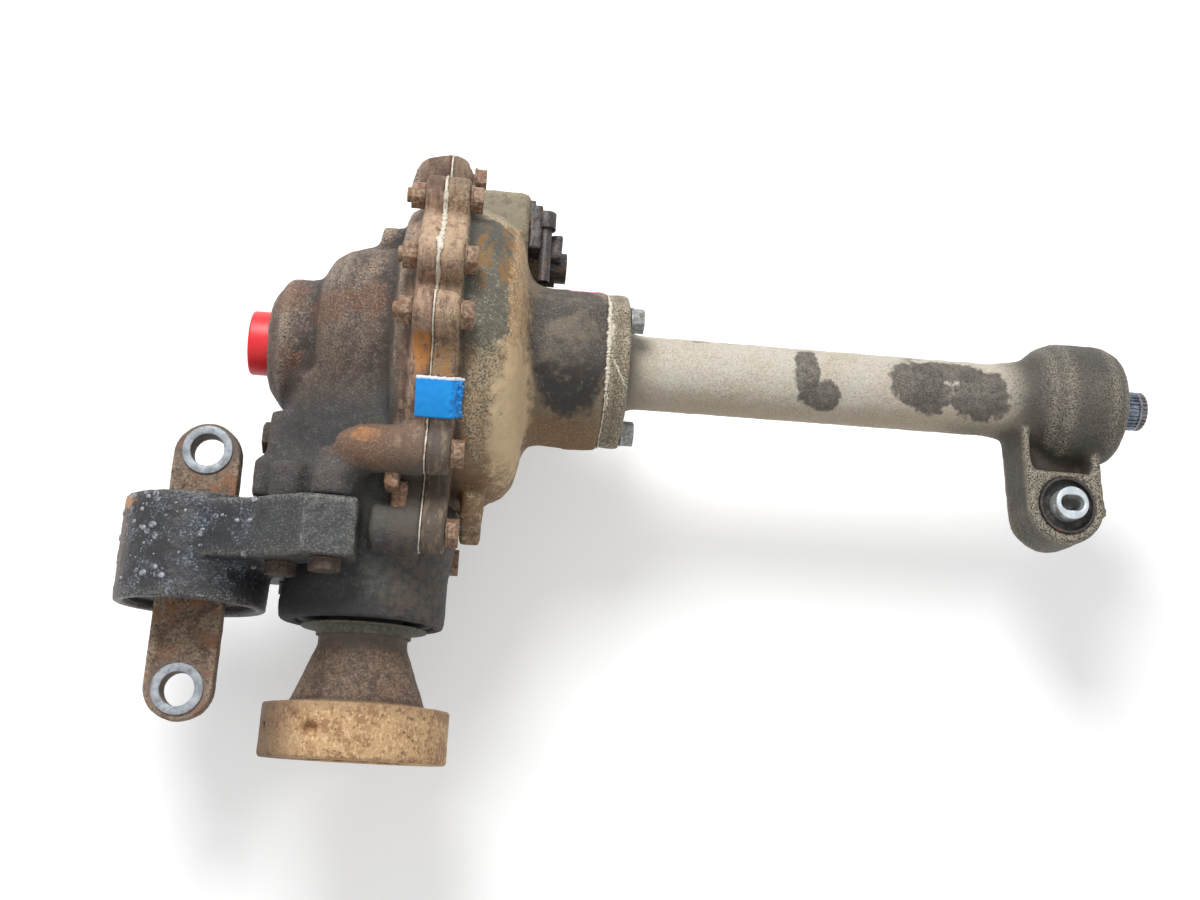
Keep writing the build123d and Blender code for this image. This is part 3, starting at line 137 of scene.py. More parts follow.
# %% A finish in coats
class Finish:
    """One material whose colour, roughness and height are built up in coats. Sizes are in millimetres."""

    def __init__(self, name, colour, roughness=0.7, metal=0.0):
        self.material = bpy.data.materials.new(name)
        self.material.use_nodes = True
        self.tree = self.material.node_tree
        self.shader = self.tree.nodes["Principled BSDF"]
        self.shader.inputs["Metallic"].default_value = metal
        self.place = put(self.tree, "ShaderNodeTexCoord").outputs["Object"]
        self.colour = linear(*colour)
        self.rough = roughness
        self.height = None
        self.grains = {}

    def noise(self, size, detail=4.0, rough=0.6, stretch=(1, 1, 1), shift=0.0):
        """Noise whose features are about size wide."""
        where = self.place
        if stretch != (1, 1, 1) or shift:
            where = put(self.tree, "ShaderNodeMapping", {"Vector": where, "Scale": stretch,
                        "Location": (shift, shift, shift)}).outputs["Vector"]
        return put(self.tree, "ShaderNodeTexNoise", {"Vector": where, "Scale": 1 / (size * MM),
                   "Detail": detail, "Roughness": rough}).outputs["Fac"]

    def maths(self, a, b, way="ADD"):
        return put(self.tree, "ShaderNodeMath", {0: a, 1: b}, operation=way).outputs[0]

    def mask(self, field, low, high):
        """A mask that rises from low to high; low may be above high."""
        if field in self.grains:
            field = self.grains[field]
        elif isinstance(field, str):
            base = axle_y if field == "up" else 0
            low, high = base + low * MM, base + high * MM
            parts = put(self.tree, "ShaderNodeSeparateXYZ", {"Vector": self.place})
            field = parts.outputs["Y" if field == "up" else field.upper()]
        return put(self.tree, "ShaderNodeMapRange", {"Value": field, "From Min": low, "From Max": high},
                   interpolation_type="SMOOTHSTEP").outputs["Result"]

    def both(self, *masks):
        """Where all the masks are 1."""
        result = None
        for mask in masks:
            if isinstance(mask, str):
                mask = put(self.tree, "ShaderNodeAttribute", attribute_name=mask).outputs["Fac"]
            elif isinstance(mask, tuple):
                mask = self.mask(*mask)
            result = mask if result is None else self.maths(result, mask, "MULTIPLY")
        return result

    def blot(self, centre, size, ragged, grain, soft=0.25):
        """A blotch about an ellipsoid with a ragged edge; its centre's height is from the axle line."""
        off = put(self.tree, "ShaderNodeVectorMath", {0: self.place, 1: spot(*centre)}, operation="SUBTRACT")
        scaled = put(self.tree, "ShaderNodeVectorMath", {0: off.outputs[0], 1: [s * MM for s in size]},
                     operation="DIVIDE")
        far = put(self.tree, "ShaderNodeVectorMath", {0: scaled.outputs[0]}, operation="LENGTH")
        wobble = self.maths(self.maths(self.noise(grain, 5.0), 0.5, "SUBTRACT"), ragged * 2, "MULTIPLY")
        return self.mask(self.maths(far.outputs["Value"], wobble), 1 + soft, 1 - soft)

    def coats(self, *rows):
        """Covers what is below, row by row, with (colour, strength, masks) where all the masks are 1."""
        for colour, strength, *masks in rows:
            cover = self.maths(self.both(*masks), strength, "MULTIPLY")
            self.colour = put(self.tree, "ShaderNodeMix", {0: cover, 6: self.colour, 7: linear(*colour)},
                              data_type="RGBA").outputs[2]

    def roughen(self, field, low, high):
        """Roughness from low to high as the field goes from 0 to 1."""
        self.rough = put(self.tree, "ShaderNodeMapRange", {"Value": field, "To Min": low,
                         "To Max": high}).outputs[0]

    def raise_by(self, field, depth):
        """Adds a height field; depth is the height of its full range."""
        bump = put(self.tree, "ShaderNodeBump", {"Height": field, "Distance": depth * MM, "Strength": 1.0})
        if self.height is not None:
            self.tree.links.new(self.height, bump.inputs["Normal"])
        self.height = bump.outputs["Normal"]

    def done(self, *names):
        """Connects the coats to the shader and gives the finish to the named CAD nodes."""
        give(self.tree, self.shader.inputs["Base Color"], self.colour)
        give(self.tree, self.shader.inputs["Roughness"], self.rough)
        if self.height is not None:
            self.tree.links.new(self.height, self.shader.inputs["Normal"])
        for name in names:
            paint(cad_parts[name], self.material)
        print(self.material.name, "shader nodes", len(self.tree.nodes), "on", len(names), "CAD nodes")
        return self.material


def paint(piece, material):
    """Gives the whole piece one material."""
    piece.data.materials.clear()
    piece.data.materials.append(material)


print("noise of 5 mm has the scale", round(1 / (5 * MM)))

# %% [markdown]
# Sand casting leaves grains of about a millimetre, so both the light specks and the bump use the same
# fine noise. Broader noise lays dust and oil over it. The worn edges and hollows come from the mesh.


# %% A cast iron base that several pieces share
def cast_iron(name, dark, middle, light, grain=1.3, bump=0.7, specks=0.9):
    """Rough cast iron with specks, broad stains, worn edges and dirty hollows."""
    finish = Finish(name, dark)
    fine = finish.noise(grain, 3.0, 0.6)
    medium = finish.noise(5, 5.0, 0.65, shift=0.11)
    broad = finish.noise(26, 5.0, shift=0.07)
    finish.grains = {"fine": fine, "medium": medium, "broad": broad}
    uneven = finish.maths(medium, broad)
    finish.coats((middle, 1, (uneven, 0.8, 1.16)),
                 (light, specks, ("fine", 0.5, 0.62), (uneven, 0.75, 1.15)),
                 ((24, 21, 20), 0.74, ("fine", 0.44, 0.34)),
                 ((24, 21, 20), 0.85, "hollow", ("broad", 0.2, 0.5)),
                 (light, 0.8, "edge", ("fine", 0.35, 0.55)))
    finish.raise_by(fine, bump)
    finish.raise_by(medium, bump)
    finish.roughen(broad, 0.55, 0.9)
    return finish


print("cast iron grain", cast_iron.__defaults__[0], "mm")

# %% [markdown]
# The left housing is brown on its bell and boss, and turns to an oily dark grey towards the pinion,
# with a nearly black painted shade down the left side of the nose. Rust shows in a few places: on the
# boss beside the plug, low on the bell and on the long bolt boss.
# Rust shows in a few places: on the boss beside the plug, low on the bell and on the long bolt boss.

# %% Left housing finish
housing = cast_iron("housing_iron", (52, 43, 38), (97, 82, 72), (164, 144, 126), specks=0.8)
housing.coats(((70, 57, 48), 0.55, ("up", 24, -20), ("broad", 0.3, 0.55)))
low_half = housing.mask("up", -30, -62)
housing.coats(
    ((52, 52, 54), 0.78, low_half),
    ((110, 110, 105), 0.5, low_half, ("fine", 0.5, 0.62), ("medium", 0.44, 0.64)),
    ((86, 88, 78), 0.45, low_half, ("x", -14, 6), ("broad", 0.38, 0.55)))
for place, size in (((-66, 22, 30), (12, 16, 22)), ((-34, 10, 58), (18, 14, 20)),
                    ((-8, 12, 66), (12, 14, 18)), ((-60, -20, 28), (10, 8, 20))):
    blotch = housing.blot(place, size, 1.0, 7)
    housing.coats(
        ((84, 56, 42), 0.55, blotch),
        ((168, 116, 88), 0.6, blotch, ("fine", 0.54, 0.64)))
boss_rust = housing.blot((8, -88, 86), (32, 15, 20), 0.5, 9)
housing.coats(
    ((112, 82, 62), 0.7, boss_rust),
    ((190, 130, 76), 0.6, housing.blot((-4, -82, 92), (9, 5, 9), 0.9, 4), ("medium", 0.3, 0.6)),
    ((158, 124, 98), 0.5, boss_rust, ("fine", 0.52, 0.64)),
    ((48, 49, 51), 0.75, ("up", -132, -150), ("medium", 0.6, 0.42)),
    ((40, 40, 43), 0.7, ("up", -172, -182)),
    # Painted shade: the left side of the nose is painted nearly black.
    ((16, 16, 18), 0.85, ("up", -100, -150), ("x", -6, -46)))
print("housing shader nodes so far", len(housing.tree.nodes))

# %% [markdown]
# Along the joint, strips of bare tan metal and gold rust alternate on both rims. The left rim is painted
# here; it is redder on the ears at the top, greyer at the bottom and barest between.

# %% Left rim
rim = housing.both(("x", 9, 19), ("up", -104, -52))
housing.coats(
    ((86, 74, 64), 0.7, ("x", 9, 19), ("up", -52, -70), ("medium", 0.36, 0.6)),
    ((142, 112, 92), 0.8, rim, (housing.noise(11, 5.0, shift=0.5), 0.3, 0.5)),
    ((180, 152, 130), 0.75, rim, (housing.noise(7, 5.0, shift=0.9), 0.52, 0.62)),
    ((92, 64, 46), 0.75, rim, (housing.noise(5, 5.0, shift=1.3), 0.58, 0.66)),
    ((84, 60, 50), 0.9, rim, ("up", 72, 88), ("medium", 0.3, 0.6)))
streak = housing.noise(3.5, 5.0, 0.65, stretch=(1, 0.22, 0.22), shift=1.7)
housing.coats(
    ((178, 146, 116), 0.55, rim, (streak, 0.52, 0.6)),
    ((84, 60, 44), 0.6, rim, (streak, 0.46, 0.38)),
    ((82, 62, 52), 0.5, rim, ("up", 72, 88)),
    ((206, 178, 148), 0.5, rim, ("up", 24, 34), ("up", 74, 62), ("medium", 0.36, 0.54)),
    ((190, 122, 48), 0.8, housing.blot((27, -26, 104), (7, 16, 14), 0.8, 4), (streak, 0.36, 0.52)),
    ((40, 28, 22), 0.8, rim, "hollow"))
housing.done("carrier_housing")

# %% [markdown]
# The cover has a slate coloured area on its front with gold rust in it, a tan ridge round its edge,
# brown rust lower down, and a grey block above for the breather.

# %% Cover finish
cover = cast_iron("cover_iron", (104, 88, 68), (156, 136, 110), (200, 182, 152))
stripe = cover.noise(5, 6.0, 0.65, stretch=(1, 0.35, 1), shift=0.4)
cover.coats(
    ((150, 112, 72), 0.6, ("up", -10, -70), (stripe, 0.46, 0.6)),
    ((122, 92, 60), 0.7, ("up", -56, -96), ("medium", 0.4, 0.6)))
block = cover.both(("up", 76, 90), cover.mask("x", rim_right_x / MM - 2, rim_right_x / MM + 6))
cover.coats(
    ((140, 132, 112), 0.8, block),
    ((106, 98, 82), 0.7, block, (cover.noise(9, 5.0, shift=0.6), 0.5, 0.62)))
slate = cover.blot((66, 30, 96), (19, 60, 44), 0.6, 11, 0.12)
cover.coats(
    ((84, 85, 76), 0.85, slate),
    ((156, 150, 128), 0.7, slate, ("fine", 0.5, 0.62), ("medium", 0.42, 0.56)),
    ((58, 58, 52), 0.7, slate, ("up", 30, 54)))
for x, y, length, height in ((80, 66, 9, 22), (61, 40, 6, 26), (76, 30, 6, 12)):
    gold = cover.blot((x, y, 84), (length, height, 30), 1.0, 5)
    cover.coats(((132, 96, 48), 0.75, gold, (stripe, 0.42, 0.54)))
ridge = cover.blot((85, -2, 70), (7, 84, 60), 0.9, 6)
cover.coats(
    ((184, 146, 102), 0.75, ridge, (stripe, 0.36, 0.52)),
    ((222, 194, 154), 0.7, ridge, ("fine", 0.52, 0.62)),
    ((104, 92, 74), 0.75, ("x", 93, 99)),
    ((222, 194, 154), 0.85, cover.blot((86, -62, 62), (15, 54, 60), 0.7, 9), ("medium", 0.2, 0.4)),
    ((190, 172, 140), 0.6, cover.blot((70, -54, 84), (16, 34, 50), 0.9, 9), ("fine", 0.46, 0.6)),
    ((112, 84, 56), 0.6, ("up", -76, -90), ("medium", 0.35, 0.58)))
print("cover shader nodes so far", len(cover.tree.nodes))

# %% [markdown]
# The neck carries a nearly black shadow of old paint, worn through in its middle, with brown rust below
# it and a fleck of pink marking paint above. The cover's own rim gets the same strips as the left one.

# %% Neck and right rim
dark_neck = cover.blot((122, 6, 44), (28, 52, 60), 0.3, 9, 0.1)
cover.coats(
    ((58, 53, 50), 0.92, dark_neck),
    ((30, 25, 24), 0.8, dark_neck, ("up", -6, -22)),
    ((124, 112, 96), 0.6, dark_neck, cover.blot((114, 14, 52), (19, 26, 30), 1.6, 7, 0.6),
     ("broad", 0.42, 0.56)),
    ((140, 134, 124), 0.5, dark_neck, ("fine", 0.54, 0.64), ("up", -20, 0)),
    ((92, 86, 78), 0.6, dark_neck, ("medium", 0.54, 0.66)))
neck_foot = cover.both(("x", 94, 100), ("up", -42, -51))
cover.coats(
    ((116, 88, 58), 0.75, neck_foot),
    ((164, 132, 96), 0.6, neck_foot, ("fine", 0.52, 0.62)))
strip = cover.mask("x", split_x / MM + 17, split_x / MM + 15)
cover.coats(
    ((146, 118, 94), 0.8, strip, (cover.noise(10, 5.0, shift=0.5), 0.3, 0.5)),
    ((108, 78, 54), 0.8, strip, (cover.noise(6, 5.0, shift=0.8), 0.54, 0.64)),
    ((196, 172, 146), 0.6, strip, ("fine", 0.56, 0.66)),
    ((78, 68, 60), 0.75, strip, ("up", -54, -72)))
streak = cover.noise(3.5, 5.0, 0.65, stretch=(1, 0.22, 0.22), shift=1.7)
cover.coats(
    ((180, 152, 122), 0.55, strip, (streak, 0.52, 0.6)),
    ((88, 66, 48), 0.6, strip, (streak, 0.46, 0.38)),
    ((84, 66, 54), 0.55, strip, ("up", 74, 90)),
    ((206, 178, 148), 0.4, strip, ("up", 24, 34), ("up", 74, 62), ("medium", 0.36, 0.54)),
    ((70, 66, 62), 0.45, strip, ("up", -54, -72)),
    ((166, 118, 56), 0.7, cover.blot((44, -40, 106), (9, 18, 14), 0.9, 5), (streak, 0.46, 0.6)),
    ((44, 32, 24), 0.9, ("x", split_x / MM + 24, split_x / MM + 17), "hollow"),
    ((222, 88, 146), 0.9, cover.blot((131, 50, 22), (11, 6, 7), 0.5, 4)))
cover.done("housing_cover")

# %% [markdown]
# Aluminium doesn't rust: the tube is a pale warm grey, with a darker, browner painted shade along its
# underside. Two patches of old dark coating are left on it, and the end casting is darker and finely
# speckled, with painted shade towards its right end.

# %% Tube finish
tube = Finish("tube_aluminium", (180, 168, 150))
grains = tube.noise(1.1, 3.0, 0.6)
stains = tube.noise(5, 5.0, 0.65, shift=0.2)
broad = tube.noise(28, 5.0, shift=0.3)
uneven = tube.maths(broad, stains)
start_mm, end_mm = tube_start_x / MM, tube_end_x / MM
tube.coats(
    ((190, 184, 172), 1, (uneven, 0.84, 1.12)),
    ((208, 202, 190), 0.6, (grains, 0.5, 0.62)),
    ((120, 110, 98), 0.6, (grains, 0.46, 0.36), (stains, 0.3, 0.55)),
    # Painted shade: the underside is tinted a darker brownish tan.
    ((158, 136, 106), 0.5, ("up", -12, -27)),
    ((150, 140, 122), 0.7, ("x", start_mm + 46, start_mm + 12)))
flange = tube.mask("x", start_mm + 18, start_mm + 14)
tube.coats(
    ((80, 69, 52), 0.92, flange),
    ((112, 102, 82), 0.75, flange, (stains, 0.5, 0.62)),
    ((160, 148, 124), 0.65, flange, (grains, 0.5, 0.6)),
    ((96, 84, 66), 0.7, flange, (tube.noise(9, shift=0.7), 0.56, 0.66)))
end = tube.mask("x", end_mm - 94, end_mm - 66)
arm_of_eye = tube.both(("x", end_mm - 140, end_mm - 110), ("up", -18, -34))
for share in (end, arm_of_eye):
    tube.coats(
        ((52, 48, 43), 0.95, share),
        ((68, 63, 56), 0.7, share, (uneven, 0.9, 1.1)),
        ((112, 104, 92), 0.44, share, (grains, 0.52, 0.64)),
        ((48, 43, 38), 0.5, share, (grains, 0.45, 0.35)))
# Painted shade: two dark blotches towards the right end of the end casting.
tube.coats(
    ((58, 56, 54), 0.78, tube.blot((end_mm - 22, 34, 26), (40, 26, 60), 0.5, 12)),
    ((66, 62, 58), 0.5, tube.blot((end_mm - 34, -10, 40), (12, 34, 40), 0.7, 12)))
for x, y, length, height in ((289, 3, 9, 22), (300, -14, 14, 11), (368, 2, 20, 18), (378, -7, 14, 14),
                             (414, -5, 20, 20), (392, 12, 26, 9)):
    old_coat = tube.blot((x, y, 26), (length, height, 17), 0.5, 7, 0.12)
    tube.coats(
        ((66, 61, 58), 0.84, old_coat),
        ((54, 50, 48), 0.6, old_coat, (stains, 0.42, 0.56)))
tube.coats(
    ((84, 76, 66), 0.8, (tube.noise(7, 5.0, stretch=(0.4, 1, 1), shift=1.1), 0.56, 0.66), ("up", 14, 24)),
    ((58, 50, 42), 0.8, "hollow"),
    ((196, 186, 164), 0.6, "edge", (grains, 0.4, 0.6)))
tube.raise_by(grains, 0.4)
tube.raise_by(stains, 0.3)
tube.roughen(broad, 0.5, 0.8)
tube.done("axle_tube")

# %% [markdown]
# The mount bracket is painted black and weathered, with patches of blue-grey painted sheen. Its paint is
# smoother than cast iron and shines a little, and at its upper left edge it has rubbed down to rust.

# %% Bracket finish
bracket = Finish("bracket_black", (28, 29, 33))
grains = bracket.noise(1.4, 3.0, 0.6)
broad = bracket.noise(16, 5.0)
left_mm, ring_top = ring_low.x / MM, (ring_high.y - axle_y) / MM
bracket.coats(
    # Painted sheen: blue-grey patches on the black paint.
    ((84, 94, 108), 0.55, (bracket.maths(grains, broad), 0.98, 1.2)),
    ((156, 158, 164), 0.6, (grains, 0.56, 0.64), (broad, 0.45, 0.6)))
arm = bracket.mask("x", left_mm + 78, left_mm + 104)
bracket.coats(
    ((48, 49, 49), 0.8, arm, (broad, 0.3, 0.55)),
    ((104, 102, 94), 0.5, arm, (grains, 0.52, 0.64)),
    ((92, 68, 50), 0.75, ("x", left_mm + 13, left_mm + 4), (broad, 0.36, 0.52)),
    ((186, 124, 50), 0.85, bracket.blot((left_mm + 12, ring_top - 6, 20), (11, 5, 12), 0.8, 4)),
    ((118, 114, 108), 0.5, "edge", (grains, 0.4, 0.55)))
bracket.raise_by(grains, 0.3)
bracket.raise_by(bracket.noise(6), 0.7)
bracket.roughen(broad, 0.34, 0.6)
bracket.done("mount_bracket")

# %% [markdown]
# The bar through the ring is rusty steel, duller above and paler round its two holes.

# %% Bar finish
bar = cast_iron("bar_rust", (86, 68, 54), (132, 110, 90), (164, 145, 124), grain=1.6, bump=0.4)
bar.coats(
    ((50, 42, 36), 0.8, ("up", -90, -76)),
    ((136, 92, 64), 0.7, (bar.noise(12, 5.0, shift=0.3), 0.5, 0.6)),
    ((74, 44, 32), 0.6, (bar.noise(8, 5.0, shift=0.8), 0.58, 0.66)))
for hole in (bar_high.y - 18 * MM, bar_low.y + 20 * MM):
    around = (ring_centre_x / MM, (hole - axle_y) / MM, 7)
    bar.coats(((118, 106, 98), 0.5, bar.blot(around, (20, 20, 12), 0.5, 6, 0.25)))
bar.done("mount_bush_bar")

# %% [markdown]
# The companion flange's rim has dry golden rust with dark flecks, and its cone is plain brown.

# %% Companion flange finish
drive = cast_iron("flange_rust", (70, 54, 44), (108, 88, 72), (144, 122, 102), grain=1.4, bump=0.5,
                  specks=0.75)
drive_rim = drive.mask("y", 37, 32)
drive.coats(
    ((202, 164, 120), 0.9, drive_rim),
    ((148, 108, 74), 0.8, drive_rim, (drive.noise(16, 6.0, 0.7), 0.46, 0.58)),
    ((232, 200, 156), 0.65, drive_rim, (drive.noise(1.8, 4.0, stretch=(1, 0.6, 1), shift=0.2), 0.52, 0.62)),
    ((120, 78, 46), 0.7, drive_rim, (drive.noise(2.6, 4.0, shift=0.5), 0.42, 0.34)),
    ((78, 62, 52), 0.85, drive_rim, (drive.noise(5, 6.0, 0.7, shift=0.6), 0.56, 0.64),
     (drive.noise(24, 3.0, shift=0.9), 0.44, 0.58)),
    ((88, 66, 50), 0.84, drive_rim, ("x", -20, -56)),
    ((120, 96, 76), 0.5, drive_rim, ("y", 24, 34)),
    ((96, 88, 78), 0.7, ("y", 66, 74)))
drive.done("pinion_flange")

# %% [markdown]
# The small parts need only a few finishes. The metal ones share a recipe: two tones in a fine grain, a
# roughness that wanders, and stains of dirt or rust over it.


# %% Small metal parts
def metal(name, dark, light, grain, rough, metalness, scratch=0.12, stain=None, stain_mm=5, shift=0.0,
          between=(0.56, 0.68), strength=0.7, where=()):
    """Metal with fine tonal changes, a slight grain and a stain inside the masks."""
    finish = Finish(name, dark, metal=metalness)
    fine = finish.noise(grain, 5.0, 0.65)
    finish.coats((light, 1, (fine, 0.35, 0.68)))
    if stain:
        finish.coats((stain, strength, *where, (finish.noise(stain_mm, shift=shift), *between)))
    finish.roughen(finish.noise(grain * 4), rough - 0.1, rough + 0.15)
    finish.raise_by(fine, scratch)
    return finish


bolt_finish = metal("bolt_rust", (92, 68, 52), (166, 138, 114), grain=2.2, rough=0.62, metalness=0.1,
                    scratch=0.35, stain=(128, 90, 62), stain_mm=6, shift=0.4, between=(0.52, 0.62)
                    ).done("cover_bolts", "cover_nuts")
metal("bolt_dark", (40, 33, 30), (92, 74, 62), grain=2.2, rough=0.7, metalness=0.1, scratch=0.35
      ).done("bracket_bolts", "fill_plug")
metal("zinc", (112, 112, 110), (168, 170, 168), grain=3, rough=0.45, metalness=0.3,
      stain=(104, 94, 80), shift=0.1, between=(0.54, 0.66)).done("tube_bolts")
metal("washer_worn", (128, 134, 140), (172, 178, 184), grain=6, rough=0.5, metalness=0.2,
      stain=(122, 104, 90), stain_mm=4, shift=0.1, strength=0.6).done("bar_washers")
metal("sleeve_zinc", (190, 200, 206), (222, 230, 234), grain=7, rough=0.34, metalness=0.3, scratch=0.05,
      stain=(136, 132, 124), stain_mm=6, between=(0.3, 0.5), strength=0.8, where=[("z", 29.2, 28)]
      ).done("tube_bush_inner")
dark_finish = metal("dark_steel", (42, 39, 38), (86, 80, 78), grain=1.6, rough=0.5, metalness=0.3,
                    stain=(112, 78, 56), stain_mm=7, shift=0.2, strength=0.6).done(
    "breather_bracket", "breather_pipe", "breather_valve", "pinion_nut", "tube_bush_outer",
    "mount_bush_sleeve", "tube_bearing_snap_ring")
metal("collar_dusty", (76, 74, 66), (112, 108, 96), grain=3, rough=0.7, metalness=0.1).done("dust_shield")
metal("spline_steel", (96, 102, 112), (150, 158, 170), grain=4, rough=0.32, metalness=0.8, scratch=0.04,
      stain=(140, 122, 108), stain_mm=2, between=(0.35, 0.6), strength=0.8,
      where=[("x", end_mm + 17, end_mm + 21)]).done("right_axle_shaft", "shaft_clip")

# %% [markdown]
# What lies inside is seen only when the part is opened, or through the port behind the plug: oiled gear
# steel, a plain iron case and bright bearing steel.

# %% Inner parts
metal("gear_steel", (96, 94, 92), (150, 148, 144), grain=3, rough=0.35, metalness=0.8).done(
    "ring_gear", "ring_gear_bolts", "pinion_gear", "left_side_gear", "right_side_gear", "spider_gear_a",
    "spider_gear_b", "spider_pin", "spider_lock_pin", "side_thrust_washers", "crush_sleeve",
    "pinion_cup_spacer", "pinion_lock_ring", "carrier_shims")
metal("case_iron", (70, 68, 66), (110, 108, 104), grain=2, rough=0.6, metalness=0.3).done("diff_case")
metal("bearing_steel", (150, 152, 156), (196, 198, 202), grain=5, rough=0.22, metalness=0.9).done(
    *[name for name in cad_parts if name.endswith(("_cone", "_cup", "_rollers"))],
    "tube_bearing_outer", "tube_bearing_inner", "tube_bearing_balls")

# %% [markdown]
# Rubber is dull and dusty, the shipping plug is clean red plastic with a few scuffs, and the sealant is
# off-white silicone that has picked up dirt. None of them is a metal, so their recipe differs.

# %% Rubber, plug and sealant
rubber = Finish("rubber_black", (24, 24, 26))
rubber_dust = rubber.noise(4, 5.0)
rubber.coats(((84, 78, 72), 0.7, (rubber_dust, 0.45, 0.62)))
rubber.raise_by(rubber.noise(1.5), 0.2)
rubber.roughen(rubber_dust, 0.55, 0.8)
rubber.done("tube_bush_rubber", "mount_bush_rubber", "pinion_seal", "output_seals")
plug = Finish("plug_red", (222, 36, 44), 0.42)
plug.coats(
    ((240, 66, 72), 0.6, (plug.noise(9, 4.0), 0.5, 0.7)),
    ((176, 24, 30), 0.7, (plug.noise(2.4, 5.0), 0.62, 0.72)))
plug.raise_by(plug.noise(1.2), 0.08)
plug.done("transport_plug")
sealant = Finish("sealant_white", (206, 198, 182), 0.5)
sealant.coats(((150, 134, 110), 0.8, (sealant.noise(3, 5.0), 0.5, 0.66)))
sealant.raise_by(sealant.noise(1.5), 0.2)
sealant_finish = sealant.done("cover_seal", "tube_gasket")
print("finishes", len(bpy.data.materials))

# %% [markdown]
# A casting has rounded corners, filled inner corners and a slightly uneven surface. Fillets could be
# modelled one by one, but sand casting rounds everything at once, so a skin does the same: a copy of the
# CAD node is remeshed into even small faces, and then its points are moved. These helpers make such
# meshes as plain data, so no modifier is left on a piece.


# %% Mesh helpers
def new_object(name, data):
    piece = bpy.data.objects.new(name, data)
    bpy.context.scene.collection.objects.link(piece)
    return piece


def edited(mesh, operation, parts, **settings):
    """Runs one bmesh operation on some parts of a mesh: verts, edges or faces."""
    work = bmesh.new()
    work.from_mesh(mesh)
    operation(work, **{part: getattr(work, part) for part in parts}, **settings)
    work.to_mesh(mesh)
    work.free()
    return mesh


def merged_copy(node):
    """A copy of a CAD node's mesh with its loose triangles joined."""
    return edited(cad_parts[node].data.copy(), bmesh.ops.remove_doubles, ["verts"], dist=1e-6)


def evaluated_mesh(mesh, kind, inputs=None, **settings):
    """The mesh that one modifier leaves, as plain data; inputs are given to its node tree by name."""
    piece = new_object("work", mesh)
    modifier = piece.modifiers.new("work", kind)
    for name, value in settings.items():
        setattr(modifier, name, value)
    if inputs:
        for item in modifier.node_group.interface.items_tree:
            if item.name in inputs:
                modifier[item.identifier] = inputs[item.name]
    result = bpy.data.meshes.new_from_object(piece.evaluated_get(bpy.context.evaluated_depsgraph_get()))
    bpy.data.objects.remove(piece)
    return result


def even_mesh(mesh, cell):
    return evaluated_mesh(mesh, "REMESH", mode="VOXEL", voxel_size=cell * MM)


def points_of(mesh, what="co"):
    """The points of a mesh, or with normal their normals, as rows of three numbers."""
    values = np.empty(len(mesh.vertices) * 3)
    mesh.vertices.foreach_get(what, values)
    return values.reshape(-1, 3)


def set_points(mesh, points):
    mesh.vertices.foreach_set("co", points.ravel())
    mesh.update()


def edges_of(mesh):
    return np.array([edge.vertices[:] for edge in mesh.edges])


def store(mesh, name, values):
    mesh.attributes.new(name, "FLOAT", "POINT").data.foreach_set("value", values.astype(np.float32))


def add_piece(name, mesh, material, body="root", node=None):
    """Puts a finished mesh in the scene on the body that carries it, in place of a node if one is named."""
    piece = new_object(name, mesh)
    paint(piece, material)
    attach(piece, body)
    if node:
        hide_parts(node)
    print(name, "triangles", sum(len(p.vertices) - 2 for p in mesh.polygons))


print("housing triangles in the model", len(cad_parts["carrier_housing"].data.polygons))

# %% [markdown]
# Points that move to the middle of their neighbours round the corners off. Where they may only move
# outwards, they fill the inner corners as a fillet does. Noise at two sizes gives the cast roughness.


# %% Rounding and roughness
def relaxed(points, edges, rounds, weight, outward=None):
    """Points moved towards the middle of their neighbours; with outward normals, only outwards."""
    count = np.bincount(edges.ravel(), minlength=len(points))[:, None]
    for _ in range(rounds):
        total = np.empty_like(points)
        for axis in range(3):
            total[:, axis] = (np.bincount(edges[:, 0], points[edges[:, 1], axis], len(points))
                              + np.bincount(edges[:, 1], points[edges[:, 0], axis], len(points)))
        step = total / count - points
        if outward is not None:
            step = step * ((step * outward).sum(1) > 0)[:, None]
        points = points + step * weight[:, None]
    return points


def local_relax(points, edges, centre, reach, rounds, weight, outward=None):
    """Relaxes only the points near a place, fading out towards the reach."""
    away = np.linalg.norm(points - spot(*centre), axis=1) / (reach * MM)
    chosen = np.flatnonzero(away < 1)
    number = np.full(len(points), -1)
    number[chosen] = np.arange(len(chosen))
    inner = number[edges]
    inner = inner[(inner >= 0).all(1)]
    fade = np.clip(2.5 * (1 - away[chosen]), 0, 1) * weight[chosen]
    result = points.copy()
    result[chosen] = relaxed(points[chosen], inner, rounds, 0.6 * fade,
                             None if outward is None else outward[chosen])
    return result


def rough_cast(points, depth, sizes=(9, 3.5)):
    """Uneven height of a cast surface at each point; depth and sizes are in millimetres."""
    height = np.zeros(len(points))
    for size, share in zip(sizes, (1.0, 0.45)):
        height += share * np.array([noise.noise(Vector(p) / (size * MM)) for p in points])
    return height * depth * MM


def swollen(places, rough=0.0):
    """A shape that bulges outwards round some places: centre, reach and amount in mm, and the way."""
    def shape(points):
        result = points.copy()
        for centre, reach, amount, way in places:
            off = points - spot(*centre)
            fade = np.exp(-((off / (np.array(reach) * MM)) ** 2).sum(1))
            lump = 1.0
            if rough:
                lump = 0.4 + rough * np.array([noise.noise(Vector(p) / (4 * MM)) for p in points])
            result += np.array(way) * (fade * amount * MM * lump)[:, None]
        return result
    return shape


print("cast roughness in mm", np.round(rough_cast(np.array([cad_box[0], cad_box[1]]), 0.5) / MM, 3))

# %% [markdown]
# Machined faces and bores are held still, and so is the metal close round the parts that turn inside,
# because there is little room. A hold is 0 on such a place and rises to 1 at its reach in millimetres.


